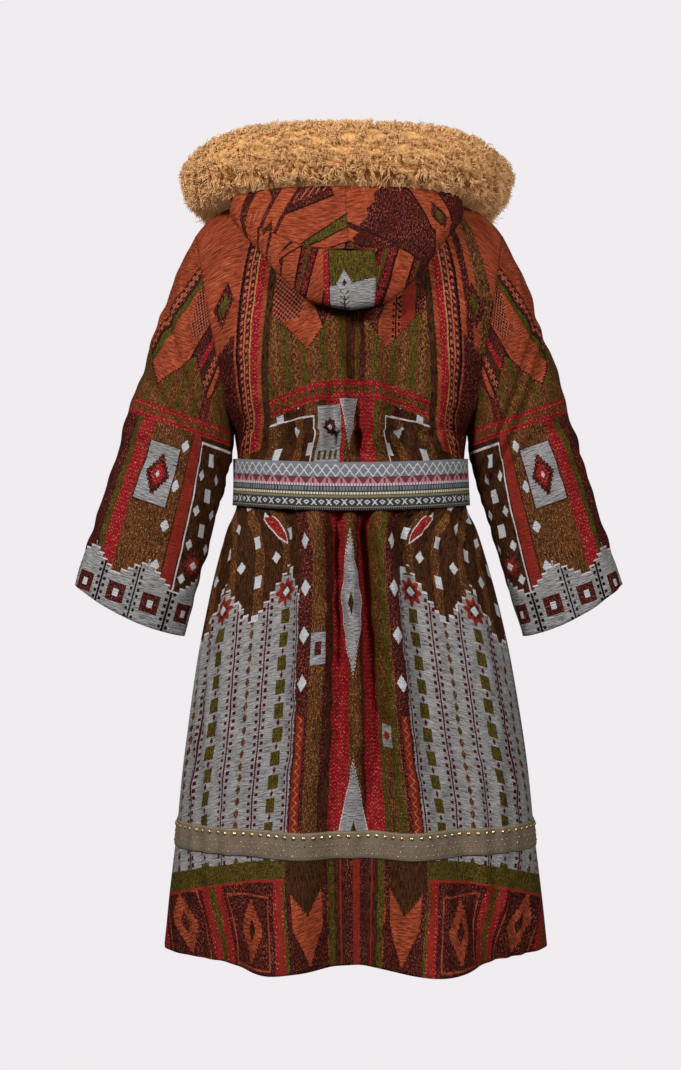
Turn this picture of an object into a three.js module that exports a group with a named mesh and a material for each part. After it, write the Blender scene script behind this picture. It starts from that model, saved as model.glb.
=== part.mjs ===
// A knee-length jacquard coat with a shearling-edged hood, seen as worn with nobody in it.
// Millimetres. The back faces -Y, the wearer's right is +X, +Z is up, and the origin lies
// in the middle of the neck opening at the height of the nape, where the wearer carries the coat.
//
// Every cloth piece is a thin wall: a grid of points on its outside, the same points moved in by
// the cloth's thickness, and rims that close the four edges.
import * as THREE from "three";

/* ------------------------------------------------------------------ driving sizes */

const WALL = 2; // the jacquard with its lining pressed to it
const SEAM = 0.3; // gap between pieces that are sewn together

// How far the coat as it hangs has moved sideways, towards the wearer's left where negative.
const LEAN = [
  { z: -1004, x: 1 },
  { z: -700, x: 0 },
  { z: -400, x: -5 },
  { z: -40, x: -8 },
];

// The body tube, as level sections from the hem up to the underarm.
const HEM_Z = -1004;
const UNDERARM_Z = -312;
const SECTIONS = [
  { z: HEM_Z, halfWidth: 260, back: 150, front: 150 },
  { z: -938, halfWidth: 253, back: 138, front: 142 },
  { z: -862, halfWidth: 244, back: 127, front: 134 },
  { z: -762, halfWidth: 234, back: 123, front: 129 },
  { z: -657, halfWidth: 219, back: 121, front: 124 },
  { z: -597, halfWidth: 209, back: 117, front: 121 },
  { z: -525, halfWidth: 193, back: 112, front: 117 },
  { z: -472, halfWidth: 179, back: 107, front: 113 },
  { z: -440, halfWidth: 169, back: 103, front: 109 },
  { z: -408, halfWidth: 156, back: 98, front: 104 },
  { z: -345, halfWidth: 154, back: 98, front: 105 },
  { z: UNDERARM_Z, halfWidth: 158, back: 106, front: 115 },
];

// Folds of the back and of a front, at five heights. "at" is the place across the panel, 0 on the
// centre line and 1 on the side seam, "half" the fold's half width there, "out" how far it stands.
const FOLD_LEVELS = [-150, -390, -700, -862, HEM_Z];
const BACK_FOLDS = [
  {
    name: "left flank",
    at: [-0.6, -0.62, -0.6, -0.6, -0.6],
    half: [0.1, 0.08, 0.11, 0.13, 0.15],
    out: [0, 7, 6, 0, -8],
  },
  {
    name: "left recess",
    at: [-0.38, -0.345, -0.28, -0.36, -0.44],
    half: [0.07, 0.06, 0.05, 0.06, 0.08],
    out: [0, -14, -9, -4, -4],
  },
  {
    name: "left tube",
    at: [-0.2, -0.21, -0.165, -0.21, -0.24],
    half: [0.1, 0.09, 0.09, 0.1, 0.13],
    out: [3, 15, 16, 14, 50],
  },
  {
    name: "slit",
    at: [-0.1, -0.085, -0.065, -0.08, -0.1],
    half: [0.04, 0.035, 0.04, 0.05, 0.05],
    out: [0, -14, -14, -8, -6],
  },
  {
    name: "centre ridge",
    at: [-0.05, -0.02, -0.005, 0, 0],
    half: [0.04, 0.045, 0.05, 0.05, 0.06],
    out: [0, 9, 9, 3, 0],
  },
  {
    name: "centre pleat",
    at: [0, 0.05, 0.075, 0.03, 0],
    half: [0.06, 0.045, 0.05, 0.09, 0.12],
    out: [-15, -22, -19, -16, -30],
  },
  {
    name: "right tube",
    at: [0.13, 0.15, 0.17, 0.21, 0.24],
    half: [0.08, 0.07, 0.08, 0.1, 0.145],
    out: [6, 15, 17, 18, 62],
  },
  {
    name: "right recess",
    at: [0.3, 0.26, 0.28, 0.38, 0.5],
    half: [0.07, 0.06, 0.06, 0.07, 0.1],
    out: [0, -14, -9, -6, -8],
  },
  {
    name: "right flank",
    at: [0.55, 0.56, 0.6, 0.64, 0.68],
    half: [0.1, 0.09, 0.11, 0.13, 0.15],
    out: [0, 7, 6, 0, -10],
  },
];
const FRONT_FOLDS = [
  {
    name: "inner tube",
    at: [0.3, 0.28, 0.31, 0.34, 0.38],
    half: [0.12, 0.09, 0.1, 0.11, 0.13],
    out: [2, 12, 12, 14, 28],
  },
  {
    name: "recess",
    at: [0.48, 0.44, 0.48, 0.52, 0.57],
    half: [0.1, 0.07, 0.08, 0.09, 0.1],
    out: [0, -12, -9, -9, -12],
  },
  {
    name: "outer tube",
    at: [0.62, 0.6, 0.64, 0.69, 0.74],
    half: [0.1, 0.08, 0.1, 0.11, 0.12],
    out: [0, 10, 8, 8, 14],
  },
];

// Armhole: from the underarm point up to the shoulder point, bowed to the back and to the front.
const SHOULDER = { x: 208, z: -43 };
const ARMHOLE = { back: 80, front: 74 };
// Neckline and shoulder seam. The neckline takes NECK_SHARE of the top edge from the centre out.
const NECK = { halfWidth: 80, back: 60, front: 86, sideZ: 18, napeZ: 0, frontZ: -84 };
const NECK_SHARE = 0.36;
// Level rows of the yoke between the underarm and the place where the cloth rolls over the shoulder.
const ROLL_AT = 0.62;
const BACK_YOKE = [
  { up: 0, z: UNDERARM_Z, depth: 106, square: 1.8 },
  { up: 0.22, z: -250, depth: 114, square: 2.2 },
  { up: 0.44, z: -178, depth: 118, square: 2.7 },
  { up: ROLL_AT, z: -108, depth: 113, square: 3 },
];
const FRONT_YOKE = [
  { up: 0, z: UNDERARM_Z, depth: 115, square: 1.8 },
  { up: 0.22, z: -268, depth: 121, square: 2.2 },
  { up: 0.44, z: -222, depth: 122, square: 2.6 },
  { up: ROLL_AT, z: -176, depth: 116, square: 2.9 },
];

// Fronts lap over each other past the centre, the right one outside.
const LAP = { past: 0.13, ends: 0.34, gap: 0.8 };

// Sleeve sections, from the armhole to the cuff, by the outer and the inner line seen from behind.
// The left sleeve's cuff swings out further than the right one's by twice SWING.
const SLEEVE = [
  { outX: 208, outZ: -43, inX: 158, inZ: -312, halfDepth: 78, y: 0 },
  { outX: 236, outZ: -99, inX: 161, inZ: -338, halfDepth: 74, y: 0 },
  { outX: 264, outZ: -175, inX: 168, inZ: -367, halfDepth: 67, y: 1 },
  { outX: 291.5, outZ: -256, inX: 177, inZ: -401, halfDepth: 59, y: 3 },
  { outX: 318.5, outZ: -344, inX: 190, inZ: -445, halfDepth: 52, y: 6 },
  { outX: 344.5, outZ: -430, inX: 208, inZ: -506, halfDepth: 46, y: 9 },
  { outX: 373, outZ: -516, inX: 231, inZ: -587, halfDepth: 41, y: 12 },
];
const SWING = 6;
const CUFF_DIP = 9; // how far the cuff's edge bows down between its two corners

// Centre line and radius of the fur roll, from the middle of the back round to the throat.
const FUR = [
  { x: 0, y: -114, z: 50, radius: 46 },
  { x: 68, y: -112, z: 49, radius: 46 },
  { x: 130, y: -96, z: 45, radius: 45 },
  { x: 172, y: -58, z: 36, radius: 42 },
  { x: 185, y: -4, z: 22, radius: 40 },
  { x: 172, y: 50, z: 6, radius: 38 },
  { x: 136, y: 92, z: -24, radius: 35 },
  { x: 90, y: 119, z: -64, radius: 31 },
  { x: 44, y: 128, z: -100, radius: 26 },
];
const FUR_SHIFT = -6; // the roll has slipped this much further to the left
const FUR_END = 20; // how far the rounded ends run on
const FUR_LIFT = 1.5; // how far the roll stays off the coat
const FUR_CLUMP = 1.4; // how far its curls swell and sink

// The hood as it hangs, in sections that turn about the neck from the middle of the back (0) to
// the throat. "edge" is the place on the fur's section, in radians, where its edge is sewn, "low"
// and "lowZ" the lowest point of the pouch by its reach beyond that edge and its height, "deep" how
// far the cloth that lies on the coat is drawn back from it, and "bulge" how far the cloth that
// shows stands out. With "slack" the pouch shallows until, in front, the cloth runs straight from
// the neck to the fur.
const HOOD = [
  { turn: 0, edge: -1.3, low: 11, lowZ: -159, deep: 17, bulge: 22, slack: 0 },
  { turn: 20, edge: -1.3, low: 9, lowZ: -149, deep: 17, bulge: 21, slack: 0 },
  { turn: 31, edge: -1.3, low: 9, lowZ: -125, deep: 17, bulge: 19, slack: 0 },
  { turn: 44, edge: -1.35, low: 9, lowZ: -83, deep: 16, bulge: 16, slack: 0.03 },
  { turn: 56, edge: -1.4, low: 8, lowZ: -50, deep: 14, bulge: 10, slack: 0.12 },
  { turn: 66, edge: -1.7, low: 5, lowZ: -28, deep: 12, bulge: 3, slack: 0.4 },
  { turn: 77, edge: -2.2, low: 1, lowZ: -6, deep: 8, bulge: 2, slack: 0.8 },
  { turn: 90, edge: -2.85, low: 0, lowZ: 4, deep: 6, bulge: 0, slack: 1 },
  { turn: 138, edge: -3.7, low: 0, lowZ: -80, deep: 6, bulge: 0, slack: 1 },
];
const HOOD_END = 138;
const POUCH_ROUND = 9; // half the width of the pouch's round bottom
const HOOD_CLEAR = 3.2; // the least distance between the coat and the outside of the hood's cloth
const HOOD_SEAM = 0.001; // half the gap between its pieces, as a share of the way round
const GUSSET = { half: 0.09, top: 0.885 }; // the squared piece let into the tip of the hood
// The arched crease that the tip's weight pulls into the hood, as shares of the cloth's way up.
const CREASE = { peak: 0.945, fall: 0.2, foot: 0.2, spread: 0.03, deep: 5 };

const BELT = { z: -377, height: 63, thick: 1.8, clear: 7.6, sideClear: 3.5, sag: 7, lap: 60 };
const TAPE = { low: -868, high: -832, thick: 1.6 };

const BACK_COLUMNS = 40;
const FRONT_COLUMNS = 17;
const YOKE_ROWS = 10;
const SLEEVE_ROWS = 12;
const FUR_STEPS = 46;
const FUR_SIDES = 12;
const BELT_STEPS = 66;
const BODY_ROWS = [
  HEM_Z, -972, -938, -902, TAPE.low, TAPE.high, -786, -738, -690, -640, -592, -548, -508, -474, -446,
  -420, -398, -377, -356, -334, UNDERARM_Z,
];

/* ------------------------------------------------------------------ small tools */

const mix = (a, b, t) => a + (b - a) * t;
const clamp01 = (t) => Math.min(1, Math.max(0, t));
const ease = (t) => clamp01(t) ** 2 * (3 - 2 * clamp01(t));
const HALF_PI = Math.PI / 2;

// Value of a column at a place along a table, on a smooth curve that never overshoots its rows.
function along(keys, values, at) {
  const up = keys[keys.length - 1] > keys[0] ? 1 : -1;
  const k = keys.map((v) => v * up);
  const a = Math.min(k[k.length - 1], Math.max(k[0], at * up));
  const slope = (i) => (values[i + 1] - values[i]) / (k[i + 1] - k[i]);
  const tangent = (i) => {
    if (i === 0) return slope(0);
    if (i === k.length - 1) return slope(i - 1);
    const [p, q] = [slope(i - 1), slope(i)];
    return p * q <= 0 ? 0 : (2 * p * q) / (p + q);
  };
  let i = 0;
  while (i < k.length - 2 && a > k[i + 1]) i += 1;
  const h = k[i + 1] - k[i];
  const t = (a - k[i]) / h;
  const [t2, t3] = [t * t, t * t * t];
  return (
    (2 * t3 - 3 * t2 + 1) * values[i] +
    (t3 - 2 * t2 + t) * h * tangent(i) +
    (3 * t2 - 2 * t3) * values[i + 1] +
    (t3 - t2) * h * tangent(i + 1)
  );
}
const column = (table, key, name, at) =>
  along(table.map((row) => row[key]), table.map((row) => row[name]), at);

// Outward directions of a grid of points, from its neighbours along both ways.
function normalsOf(grid, closed, sign) {
  const rows = grid.length;
  const cols = grid[0].length;
  const wrap = (i) => (closed ? (i + cols) % cols : Math.min(cols - 1, Math.max(0, i)));
  return grid.map((row, j) =>
    row.map((_, i) => {
      const across = new THREE.Vector3().subVectors(row[wrap(i + 1)], row[wrap(i - 1)]);
      const up = new THREE.Vector3().subVectors(
        grid[Math.min(rows - 1, j + 1)][i],
        grid[Math.max(0, j - 1)][i],
      );
      return across.cross(up).normalize().multiplyScalar(sign);
    }),
  );
}
const moved = (point, normal, by) => point.clone().addScaledVector(normal, by);

// A closed solid between two grids of points that lie face to face.
function between(outer, inner, closed, sign) {
  const rows = outer.length;
  const cols = outer[0].length;
  const positions = [];
  [outer, inner].forEach((grid) => grid.flat().forEach((p) => positions.push(p.x, p.y, p.z)));
  const at = (layer, j, i) => layer * rows * cols + j * cols + (i % cols);
  const index = [];
  const quad = (a, b, c, d) => {
    if (sign > 0) index.push(a, b, c, a, c, d);
    else index.push(a, c, b, a, d, c);
  };
  const lastColumn = closed ? cols : cols - 1;
  for (let j = 0; j < rows - 1; j += 1)
    for (let i = 0; i < lastColumn; i += 1) {
      quad(at(0, j, i), at(0, j, i + 1), at(0, j + 1, i + 1), at(0, j + 1, i));
      quad(at(1, j, i), at(1, j + 1, i), at(1, j + 1, i + 1), at(1, j, i + 1));
    }
  for (let i = 0; i < lastColumn; i += 1) {
    quad(at(0, 0, i), at(1, 0, i), at(1, 0, i + 1), at(0, 0, i + 1));
    quad(at(0, rows - 1, i), at(0, rows - 1, i + 1), at(1, rows - 1, i + 1), at(1, rows - 1, i));
  }
  if (!closed)
    for (let j = 0; j < rows - 1; j += 1) {
      quad(at(0, j, 0), at(0, j + 1, 0), at(1, j + 1, 0), at(1, j, 0));
      quad(at(0, j, cols - 1), at(1, j, cols - 1), at(1, j + 1, cols - 1), at(0, j + 1, cols - 1));
    }
  const geometry = new THREE.BufferGeometry();
  geometry.setAttribute("position", new THREE.Float32BufferAttribute(positions, 3));
  geometry.setIndex(index);
  return geometry;
}

// A cloth wall: its outside is the grid, its inside the grid moved in along the normals.
const wall = (grid, normals, { closed = false, sign = 1, thick = WALL } = {}) =>
  between(grid, grid.map((row, j) => row.map((p, i) => moved(p, normals[j][i], -thick))), closed, sign);

/* ------------------------------------------------------------------ body surface */

const bump = (q) => Math.exp(-q * q);

// How far the folds of a table push the cloth out at a place across the panel and a height.
// The belt pinches them, they die out on the yoke, and the fronts lap where they lie flat.
function foldsAt(folds, place, z) {
  const pinch = 1 - 0.9 * Math.exp(-(((z - BELT.z) / 50) ** 4));
  const fade = ease((-60 - z) / 110);
  const flat = folds === FRONT_FOLDS ? ease((place - LAP.past) / 0.14) : 1;
  return folds.reduce((sum, fold) => {
    const at = along(FOLD_LEVELS, fold.at, z);
    const half = along(FOLD_LEVELS, fold.half, z);
    return sum + along(FOLD_LEVELS, fold.out, z) * bump((place - at) / half);
  }, 0) * pinch * fade * flat;
}

// A point of the body tube. place runs from -1 to 1 across the back; on a front it runs from 0 at
// the centre to 1 at the side seam, and a little below 0 where the fronts lap.
function tubePoint(isBack, place, z, out = 0) {
  const w = column(SECTIONS, "z", "halfWidth", z);
  const d = column(SECTIONS, "z", isBack ? "back" : "front", z);
  const turn = place * HALF_PI;
  const facing = isBack ? -1 : 1;
  const normal = new THREE.Vector3(Math.sin(turn) / w, (facing * Math.cos(turn)) / d, 0).normalize();
  const folds = foldsAt(isBack ? BACK_FOLDS : FRONT_FOLDS, place, z);
  const point = new THREE.Vector3(w * Math.sin(turn), facing * d * Math.cos(turn), z);
  return moved(point, normal, folds + out);
}

// The armhole's edge, up from 0 at the underarm to 1 at the shoulder point, on the +X side.
function armhole(isBack, up) {
  const share = (1 - Math.cos(Math.PI * up)) / 2;
  const bow = (isBack ? -ARMHOLE.back : ARMHOLE.front) * Math.sin(Math.PI * up);
  const tube = tubePoint(isBack, 1, UNDERARM_Z);
  return new THREE.Vector3(mix(tube.x, SHOULDER.x, share), bow, mix(UNDERARM_Z, SHOULDER.z, share));
}

// The top edge: the neckline, then the shoulder seam, which drops more and more towards its end.
function topEdge(isBack, place) {
  const p = Math.abs(place);
  const side = Math.sign(place) || 1;
  const seamY = isBack ? -SEAM / 2 : SEAM / 2;
  if (p <= NECK_SHARE) {
    const turn = (p / NECK_SHARE) * HALF_PI;
    const drop = isBack ? NECK.napeZ : NECK.frontZ;
    const reach = isBack ? -NECK.back : NECK.front;
    const rise = isBack ? Math.sin(turn) ** 2 : 1 - Math.cos(turn) ** 1.4;
    return new THREE.Vector3(
      side * NECK.halfWidth * Math.sin(turn),
      reach * Math.cos(turn) + seamY * Math.sin(turn),
      mix(drop, NECK.sideZ, rise),
    );
  }
  const q = (p - NECK_SHARE) / (1 - NECK_SHARE);
  const x = mix(NECK.halfWidth, SHOULDER.x, q);
  const z = NECK.sideZ - 34 * q - (NECK.sideZ - SHOULDER.z - 34) * q ** 6;
  return new THREE.Vector3(side * x, seamY, z);
}

// A level row of the yoke below the roll of the shoulder.
function yokeRow(isBack, place, up) {
  const table = isBack ? BACK_YOKE : FRONT_YOKE;
  const edge = armhole(isBack, up);
  const p = Math.abs(place);
  const depth = column(table, "up", "depth", up);
  const square = column(table, "up", "square", up);
  const z = mix(column(table, "up", "z", up), edge.z, p ** 2);
  const even = ease(up / ROLL_AT) * 0.7;
  const x = edge.x * mix(Math.sin(place * HALF_PI), place, even);
  const round = mix(Math.cos(place * HALF_PI), 1 - p ** square, ease(up / 0.22));
  const y = Math.abs(edge.y) * p ** square + depth * round;
  return new THREE.Vector3(x, isBack ? -y : y, z);
}

// A point of the yoke, up from 0 at the underarm level to 1 at the top edge.
function yokePoint(isBack, place, up) {
  const folds = isBack ? BACK_FOLDS : FRONT_FOLDS;
  const facing = isBack ? -1 : 1;
  let point;
  if (up <= ROLL_AT) point = yokeRow(isBack, place, up);
  else {
    const start = yokeRow(isBack, place, ROLL_AT);
    const end = topEdge(isBack, place);
    const roll = ((up - ROLL_AT) / (1 - ROLL_AT)) * HALF_PI;
    const rollAt = (a, b) => new THREE.Vector3(
      mix(a.x, b.x, 1 - Math.cos(roll)),
      mix(b.y, a.y, Math.cos(roll)),
      mix(a.z, b.z, Math.sin(roll)),
    );
    point = rollAt(start, end);
    // The armhole keeps its own curve, so that the sleeve fits it.
    const side = Math.sign(place) || 1;
    const edge = armhole(isBack, up);
    edge.y += (facing * SEAM) / 2 * ease((up - 0.8) / 0.2);
    const bare = rollAt(yokeRow(isBack, 1, ROLL_AT), topEdge(isBack, 1));
    const pull = Math.abs(place) ** 6;
    point.x += side * (edge.x - bare.x) * pull;
    point.y += (edge.y - bare.y) * pull;
    point.z += (edge.z - bare.z) * pull;
  }
  const level = isBack ? point.z : Math.min(point.z, -60);
  point.y += facing * foldsAt(folds, place, level) * (1 - Math.abs(place) ** 4) * ease((1 - up) / 0.25);
  return point;
}

/* ------------------------------------------------------------------ panels */

// Places across a panel, closer together in the middle, where the folds are.
const backPlaces = Array.from({ length: BACK_COLUMNS + 1 }, (_, i) => {
  const u = (2 * i) / BACK_COLUMNS - 1;
  return u * (0.62 + 0.38 * u * u);
});
const frontPlaces = [
  -LAP.past, -LAP.past / 2, 0, LAP.past / 2, LAP.past, LAP.past + 0.012,
  ...Array.from({ length: FRONT_COLUMNS - 5 }, (_, i) => mix(LAP.past, 1, (i + 1) / (FRONT_COLUMNS - 5))),
];
const yokeSteps = Array.from({ length: YOKE_ROWS }, (_, j) => (j + 1) / YOKE_ROWS);

// Side seams leave the seam's gap: the last column steps back by half of it.
function seamed(point, place, isBack) {
  const close = ease((Math.abs(place) - 0.97) / 0.03);
  point.y += (isBack ? -1 : 1) * (SEAM / 2) * close;
  return point;
}

function panelGrid(isBack, places) {
  const body = BODY_ROWS.map((z) => places.map((p) => seamed(tubePoint(isBack, p, z), p, isBack)));
  const yoke = yokeSteps.map((up) =>
    places.map((p) => (up < 0.8 ? seamed(yokePoint(isBack, p, up), p, isBack) : yokePoint(isBack, p, up))));
  return [...body, ...yoke];
}

// A seam's two walls end face to face: along the side and shoulder seams, which run at y = 0,
// the outward directions lose their part along Y.
function squareSeams(normals, places) {
  const last = normals.length - 1;
  normals.forEach((row, j) => row.forEach((n, i) => {
    const onSide = j < BODY_ROWS.length && Math.abs(places[i]) === 1;
    const onShoulder = j === last && Math.abs(places[i]) >= NECK_SHARE;
    if (onSide || onShoulder) n.setY(0).normalize();
  }));
  return normals;
}

const back = panelGrid(true, backPlaces);
const backNormals = squareSeams(normalsOf(back, false, 1), backPlaces);
const frontRight = panelGrid(false, frontPlaces);
const frontNormals = squareSeams(normalsOf(frontRight, false, -1), frontPlaces);

// How far the right front stands off its own surface, where it lies over the left one.
const lapOut = (place) => (WALL + LAP.gap) * ease((LAP.ends - place) / (LAP.ends - LAP.past));

const mirrored = (grid) => grid.map((row) => row.map((p) => new THREE.Vector3(-p.x, p.y, p.z)));

/* ------------------------------------------------------------------ sleeves */

// The armhole ring of the +X sleeve: up the back from the underarm, and down the front.
const armholeRing = [
  ...[0, ...yokeSteps].map((up) => armhole(true, up)),
  ...[...yokeSteps].reverse().slice(1).map((up) => armhole(false, up)),
];
const ringSize = armholeRing.length;

function sleeveGrid(swing) {
  const keys = SLEEVE.map((_, k) => k);
  const rows = [armholeRing.map((p) => p.clone())];
  for (let j = 1; j <= SLEEVE_ROWS; j += 1) {
    const at = (j / SLEEVE_ROWS) * (SLEEVE.length - 1);
    const value = (name) => along(keys, SLEEVE.map((row) => row[name]), at);
    const swung = swing * (j / SLEEVE_ROWS) ** 1.5;
    const dip = CUFF_DIP * ease((j - SLEEVE_ROWS + 4) / 4);
    rows.push(armholeRing.map((_, i) => {
      const turn = (i / ringSize) * 2 * Math.PI;
      const share = (1 - Math.cos(turn)) / 2;
      return new THREE.Vector3(
        mix(value("inX"), value("outX") + swung, share),
        value("y") - value("halfDepth") * Math.sin(turn),
        mix(value("inZ"), value("outZ"), share) - dip * Math.sin(turn) ** 2,
      );
    }));
  }
  return rows.map((row) => row.map((p) => new THREE.Vector3(p.x + SEAM + 0.1, p.y, p.z)));
}
const sleeveRight = sleeveGrid(-SWING);
const sleeveLeft = sleeveGrid(SWING);
const sleeveRightNormals = normalsOf(sleeveRight, true, -1);
const sleeveLeftNormals = normalsOf(sleeveLeft, true, -1);

// Sleeve and body meet in a mitred seam: round the armhole all of them take the mean direction.
function mitre() {
  const rowOf = (up) => BODY_ROWS.length - 1 + Math.round(up * YOKE_ROWS);
  armholeRing.forEach((_, i) => {
    const onBack = i < YOKE_ROWS;
    const top = i === YOKE_ROWS;
    const row = rowOf((i <= YOKE_ROWS ? i : ringSize - i) / YOKE_ROWS);
    const backEdge = backNormals[row][backPlaces.length - 1];
    const frontEdge = frontNormals[row][frontPlaces.length - 1];
    const mean = sleeveRightNormals[0][i].clone().add(onBack ? backEdge : frontEdge);
    if (top || i === 0) mean.setY(0);
    mean.normalize();
    sleeveRightNormals[0][i].copy(mean);
    sleeveLeftNormals[0][i].copy(mean);
    if (i <= YOKE_ROWS) {
      backEdge.copy(mean);
      backNormals[row][0].set(-mean.x, mean.y, mean.z);
    }
    if (i >= YOKE_ROWS || i === 0) frontEdge.copy(mean);
  });
}
mitre();

/* ------------------------------------------------------------------ fur and hood */

// The coat's outside as loose points, each with its outward direction.
const coatPoints = [[back, backNormals], [frontRight, frontNormals]].flatMap(([grid, normals]) =>
  grid.slice(BODY_ROWS.length - 6).flatMap((row, j) => row.map((p, i) => (
    { p, n: normals[j + BODY_ROWS.length - 6][i] }))));

// Moves a point out until it is clear of the coat, judged by the coat's nearest few points.
// Points are given on the right half.
function clearOfCoat(point, clear) {
  const near = [];
  coatPoints.forEach((c) => {
    const far = c.p.distanceToSquared(point);
    if (near.length < 9 || far < near[near.length - 1].far) {
      near.push({ ...c, far });
      near.sort((a, b) => a.far - b.far);
      near.length = Math.min(9, near.length);
    }
  });
  const weight = (c) => 1 / (c.far + 4);
  const total = near.reduce((sum, c) => sum + weight(c), 0);
  const normal = new THREE.Vector3();
  near.forEach((c) => normal.addScaledVector(c.n, weight(c)));
  normal.normalize();
  const out = near.reduce((sum, c) => sum + weight(c) * point.clone().sub(c.p).dot(c.n), 0) / total;
  return out < clear ? moved(point, normal, clear - out) : point.clone();
}

const furKeys = FUR.map((_, k) => k);
const furValue = (name, at) => along(furKeys, FUR.map((row) => row[name]), at);
const furRadius = (way) => furValue("radius", Math.abs(way) * (FUR.length - 1));

// Centre of the fur roll, from -1 at the left throat through 0 behind to 1 at the right throat:
// as it would rest with the coat hanging even, and as it lies, slipped a little to the left.
function furEven(way) {
  const at = Math.abs(way) * (FUR.length - 1);
  const centre = new THREE.Vector3(furValue("x", at), furValue("y", at), furValue("z", at));
  return clearOfCoat(centre, furRadius(way) + FUR_LIFT);
}
function furCentre(way) {
  const even = furEven(way);
  even.x = Math.sign(way) * even.x + FUR_SHIFT * (1 - ease(Math.abs(way)));
  return even;
}

// The frame of the roll's section: "out" points level, away from the neck, and "up" leans with it.
function furFrame(way) {
  const step = 0.01;
  const to = furCentre(Math.min(1, way + step));
  const from = furCentre(Math.max(-1, way - step));
  const tangent = to.sub(from).normalize();
  const out = new THREE.Vector3(tangent.y, -tangent.x, 0).normalize();
  const up = new THREE.Vector3().crossVectors(out, tangent).normalize().multiplyScalar(-1);
  return { tangent, out, up: up.z < 0 ? up.negate() : up };
}
function furPoint(way, angle, radius) {
  const { out, up } = furFrame(way);
  return furCentre(way)
    .addScaledVector(out, radius * Math.cos(angle))
    .addScaledVector(up, radius * Math.sin(angle));
}

function furGeometry() {
  const rings = [];
  for (let j = 0; j <= FUR_STEPS; j += 1) {
    const way = (2 * j) / FUR_STEPS - 1;
    // Curls lie in clumps, so the roll swells and shrinks a little along its way.
    const ring = Array.from({ length: FUR_SIDES }, (_, i) => {
      const angle = (i / FUR_SIDES) * 2 * Math.PI;
      const clump = 0.8 * Math.sin(7 * angle + 2.3 * j) + 0.6 * Math.sin(3 * angle - 1.7 * j);
      return furPoint(way, angle, furRadius(way) - FUR_CLUMP + clump);
    });
    rings.push(ring);
  }
  // Rounded ends.
  const cap = (way, sign) => {
    const { tangent } = furFrame(way);
    return [0.55, 0.9].map((turn) => {
      const shrink = Math.cos(turn * HALF_PI);
      return Array.from({ length: FUR_SIDES }, (_, i) => furPoint(
        way, (i / FUR_SIDES) * 2 * Math.PI, (furRadius(way) - FUR_CLUMP) * shrink)
        .addScaledVector(tangent, sign * FUR_END * Math.sin(turn * HALF_PI)));
    });
  };
  const all = [...cap(-1, -1).reverse(), ...rings, ...cap(1, 1)];
  const positions = all.flat().flatMap((p) => [p.x, p.y, p.z]);
  const middle = (ring) => ring
    .reduce((sum, p) => sum.add(p), new THREE.Vector3())
    .divideScalar(ring.length);
  const first = middle(all[0]);
  const last = middle(all[all.length - 1]);
  positions.push(first.x, first.y, first.z, last.x, last.y, last.z);
  const at = (j, i) => j * FUR_SIDES + (i % FUR_SIDES);
  const [firstAt, lastAt] = [all.length * FUR_SIDES, all.length * FUR_SIDES + 1];
  const index = [];
  for (let j = 0; j < all.length - 1; j += 1)
    for (let i = 0; i < FUR_SIDES; i += 1)
      index.push(at(j, i), at(j + 1, i), at(j + 1, i + 1), at(j, i), at(j + 1, i + 1), at(j, i + 1));
  for (let i = 0; i < FUR_SIDES; i += 1) {
    index.push(firstAt, at(0, i), at(0, i + 1));
    index.push(lastAt, at(all.length - 1, i + 1), at(all.length - 1, i));
  }
  const geometry = new THREE.BufferGeometry();
  geometry.setAttribute("position", new THREE.Float32BufferAttribute(positions, 3));
  geometry.setIndex(index);
  return geometry;
}

// A point of the neckline, turned about the neck from the middle of the back.
function neckline(turn, side) {
  const isBack = turn <= 90;
  const place = (isBack ? turn / 90 : (180 - turn) / 90) * NECK_SHARE;
  const edge = topEdge(isBack, place);
  if (side > 0 && !isBack) edge.z += lapOut(place);
  return edge;
}

// The fur's way round that lies on the same turn about the neck.
const furWays = Array.from({ length: 401 }, (_, k) => {
  const way = k / 400;
  const c = furEven(way);
  return { way, turn: (Math.atan2(c.x, -c.y) * 180) / Math.PI };
});
function furWayAt(turn) {
  const k = Math.max(1, furWays.findIndex((f) => f.turn >= turn));
  const [a, b] = [furWays[k - 1], furWays[k]];
  return mix(a.way, b.way, (turn - a.turn) / (b.turn - a.turn));
}

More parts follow.
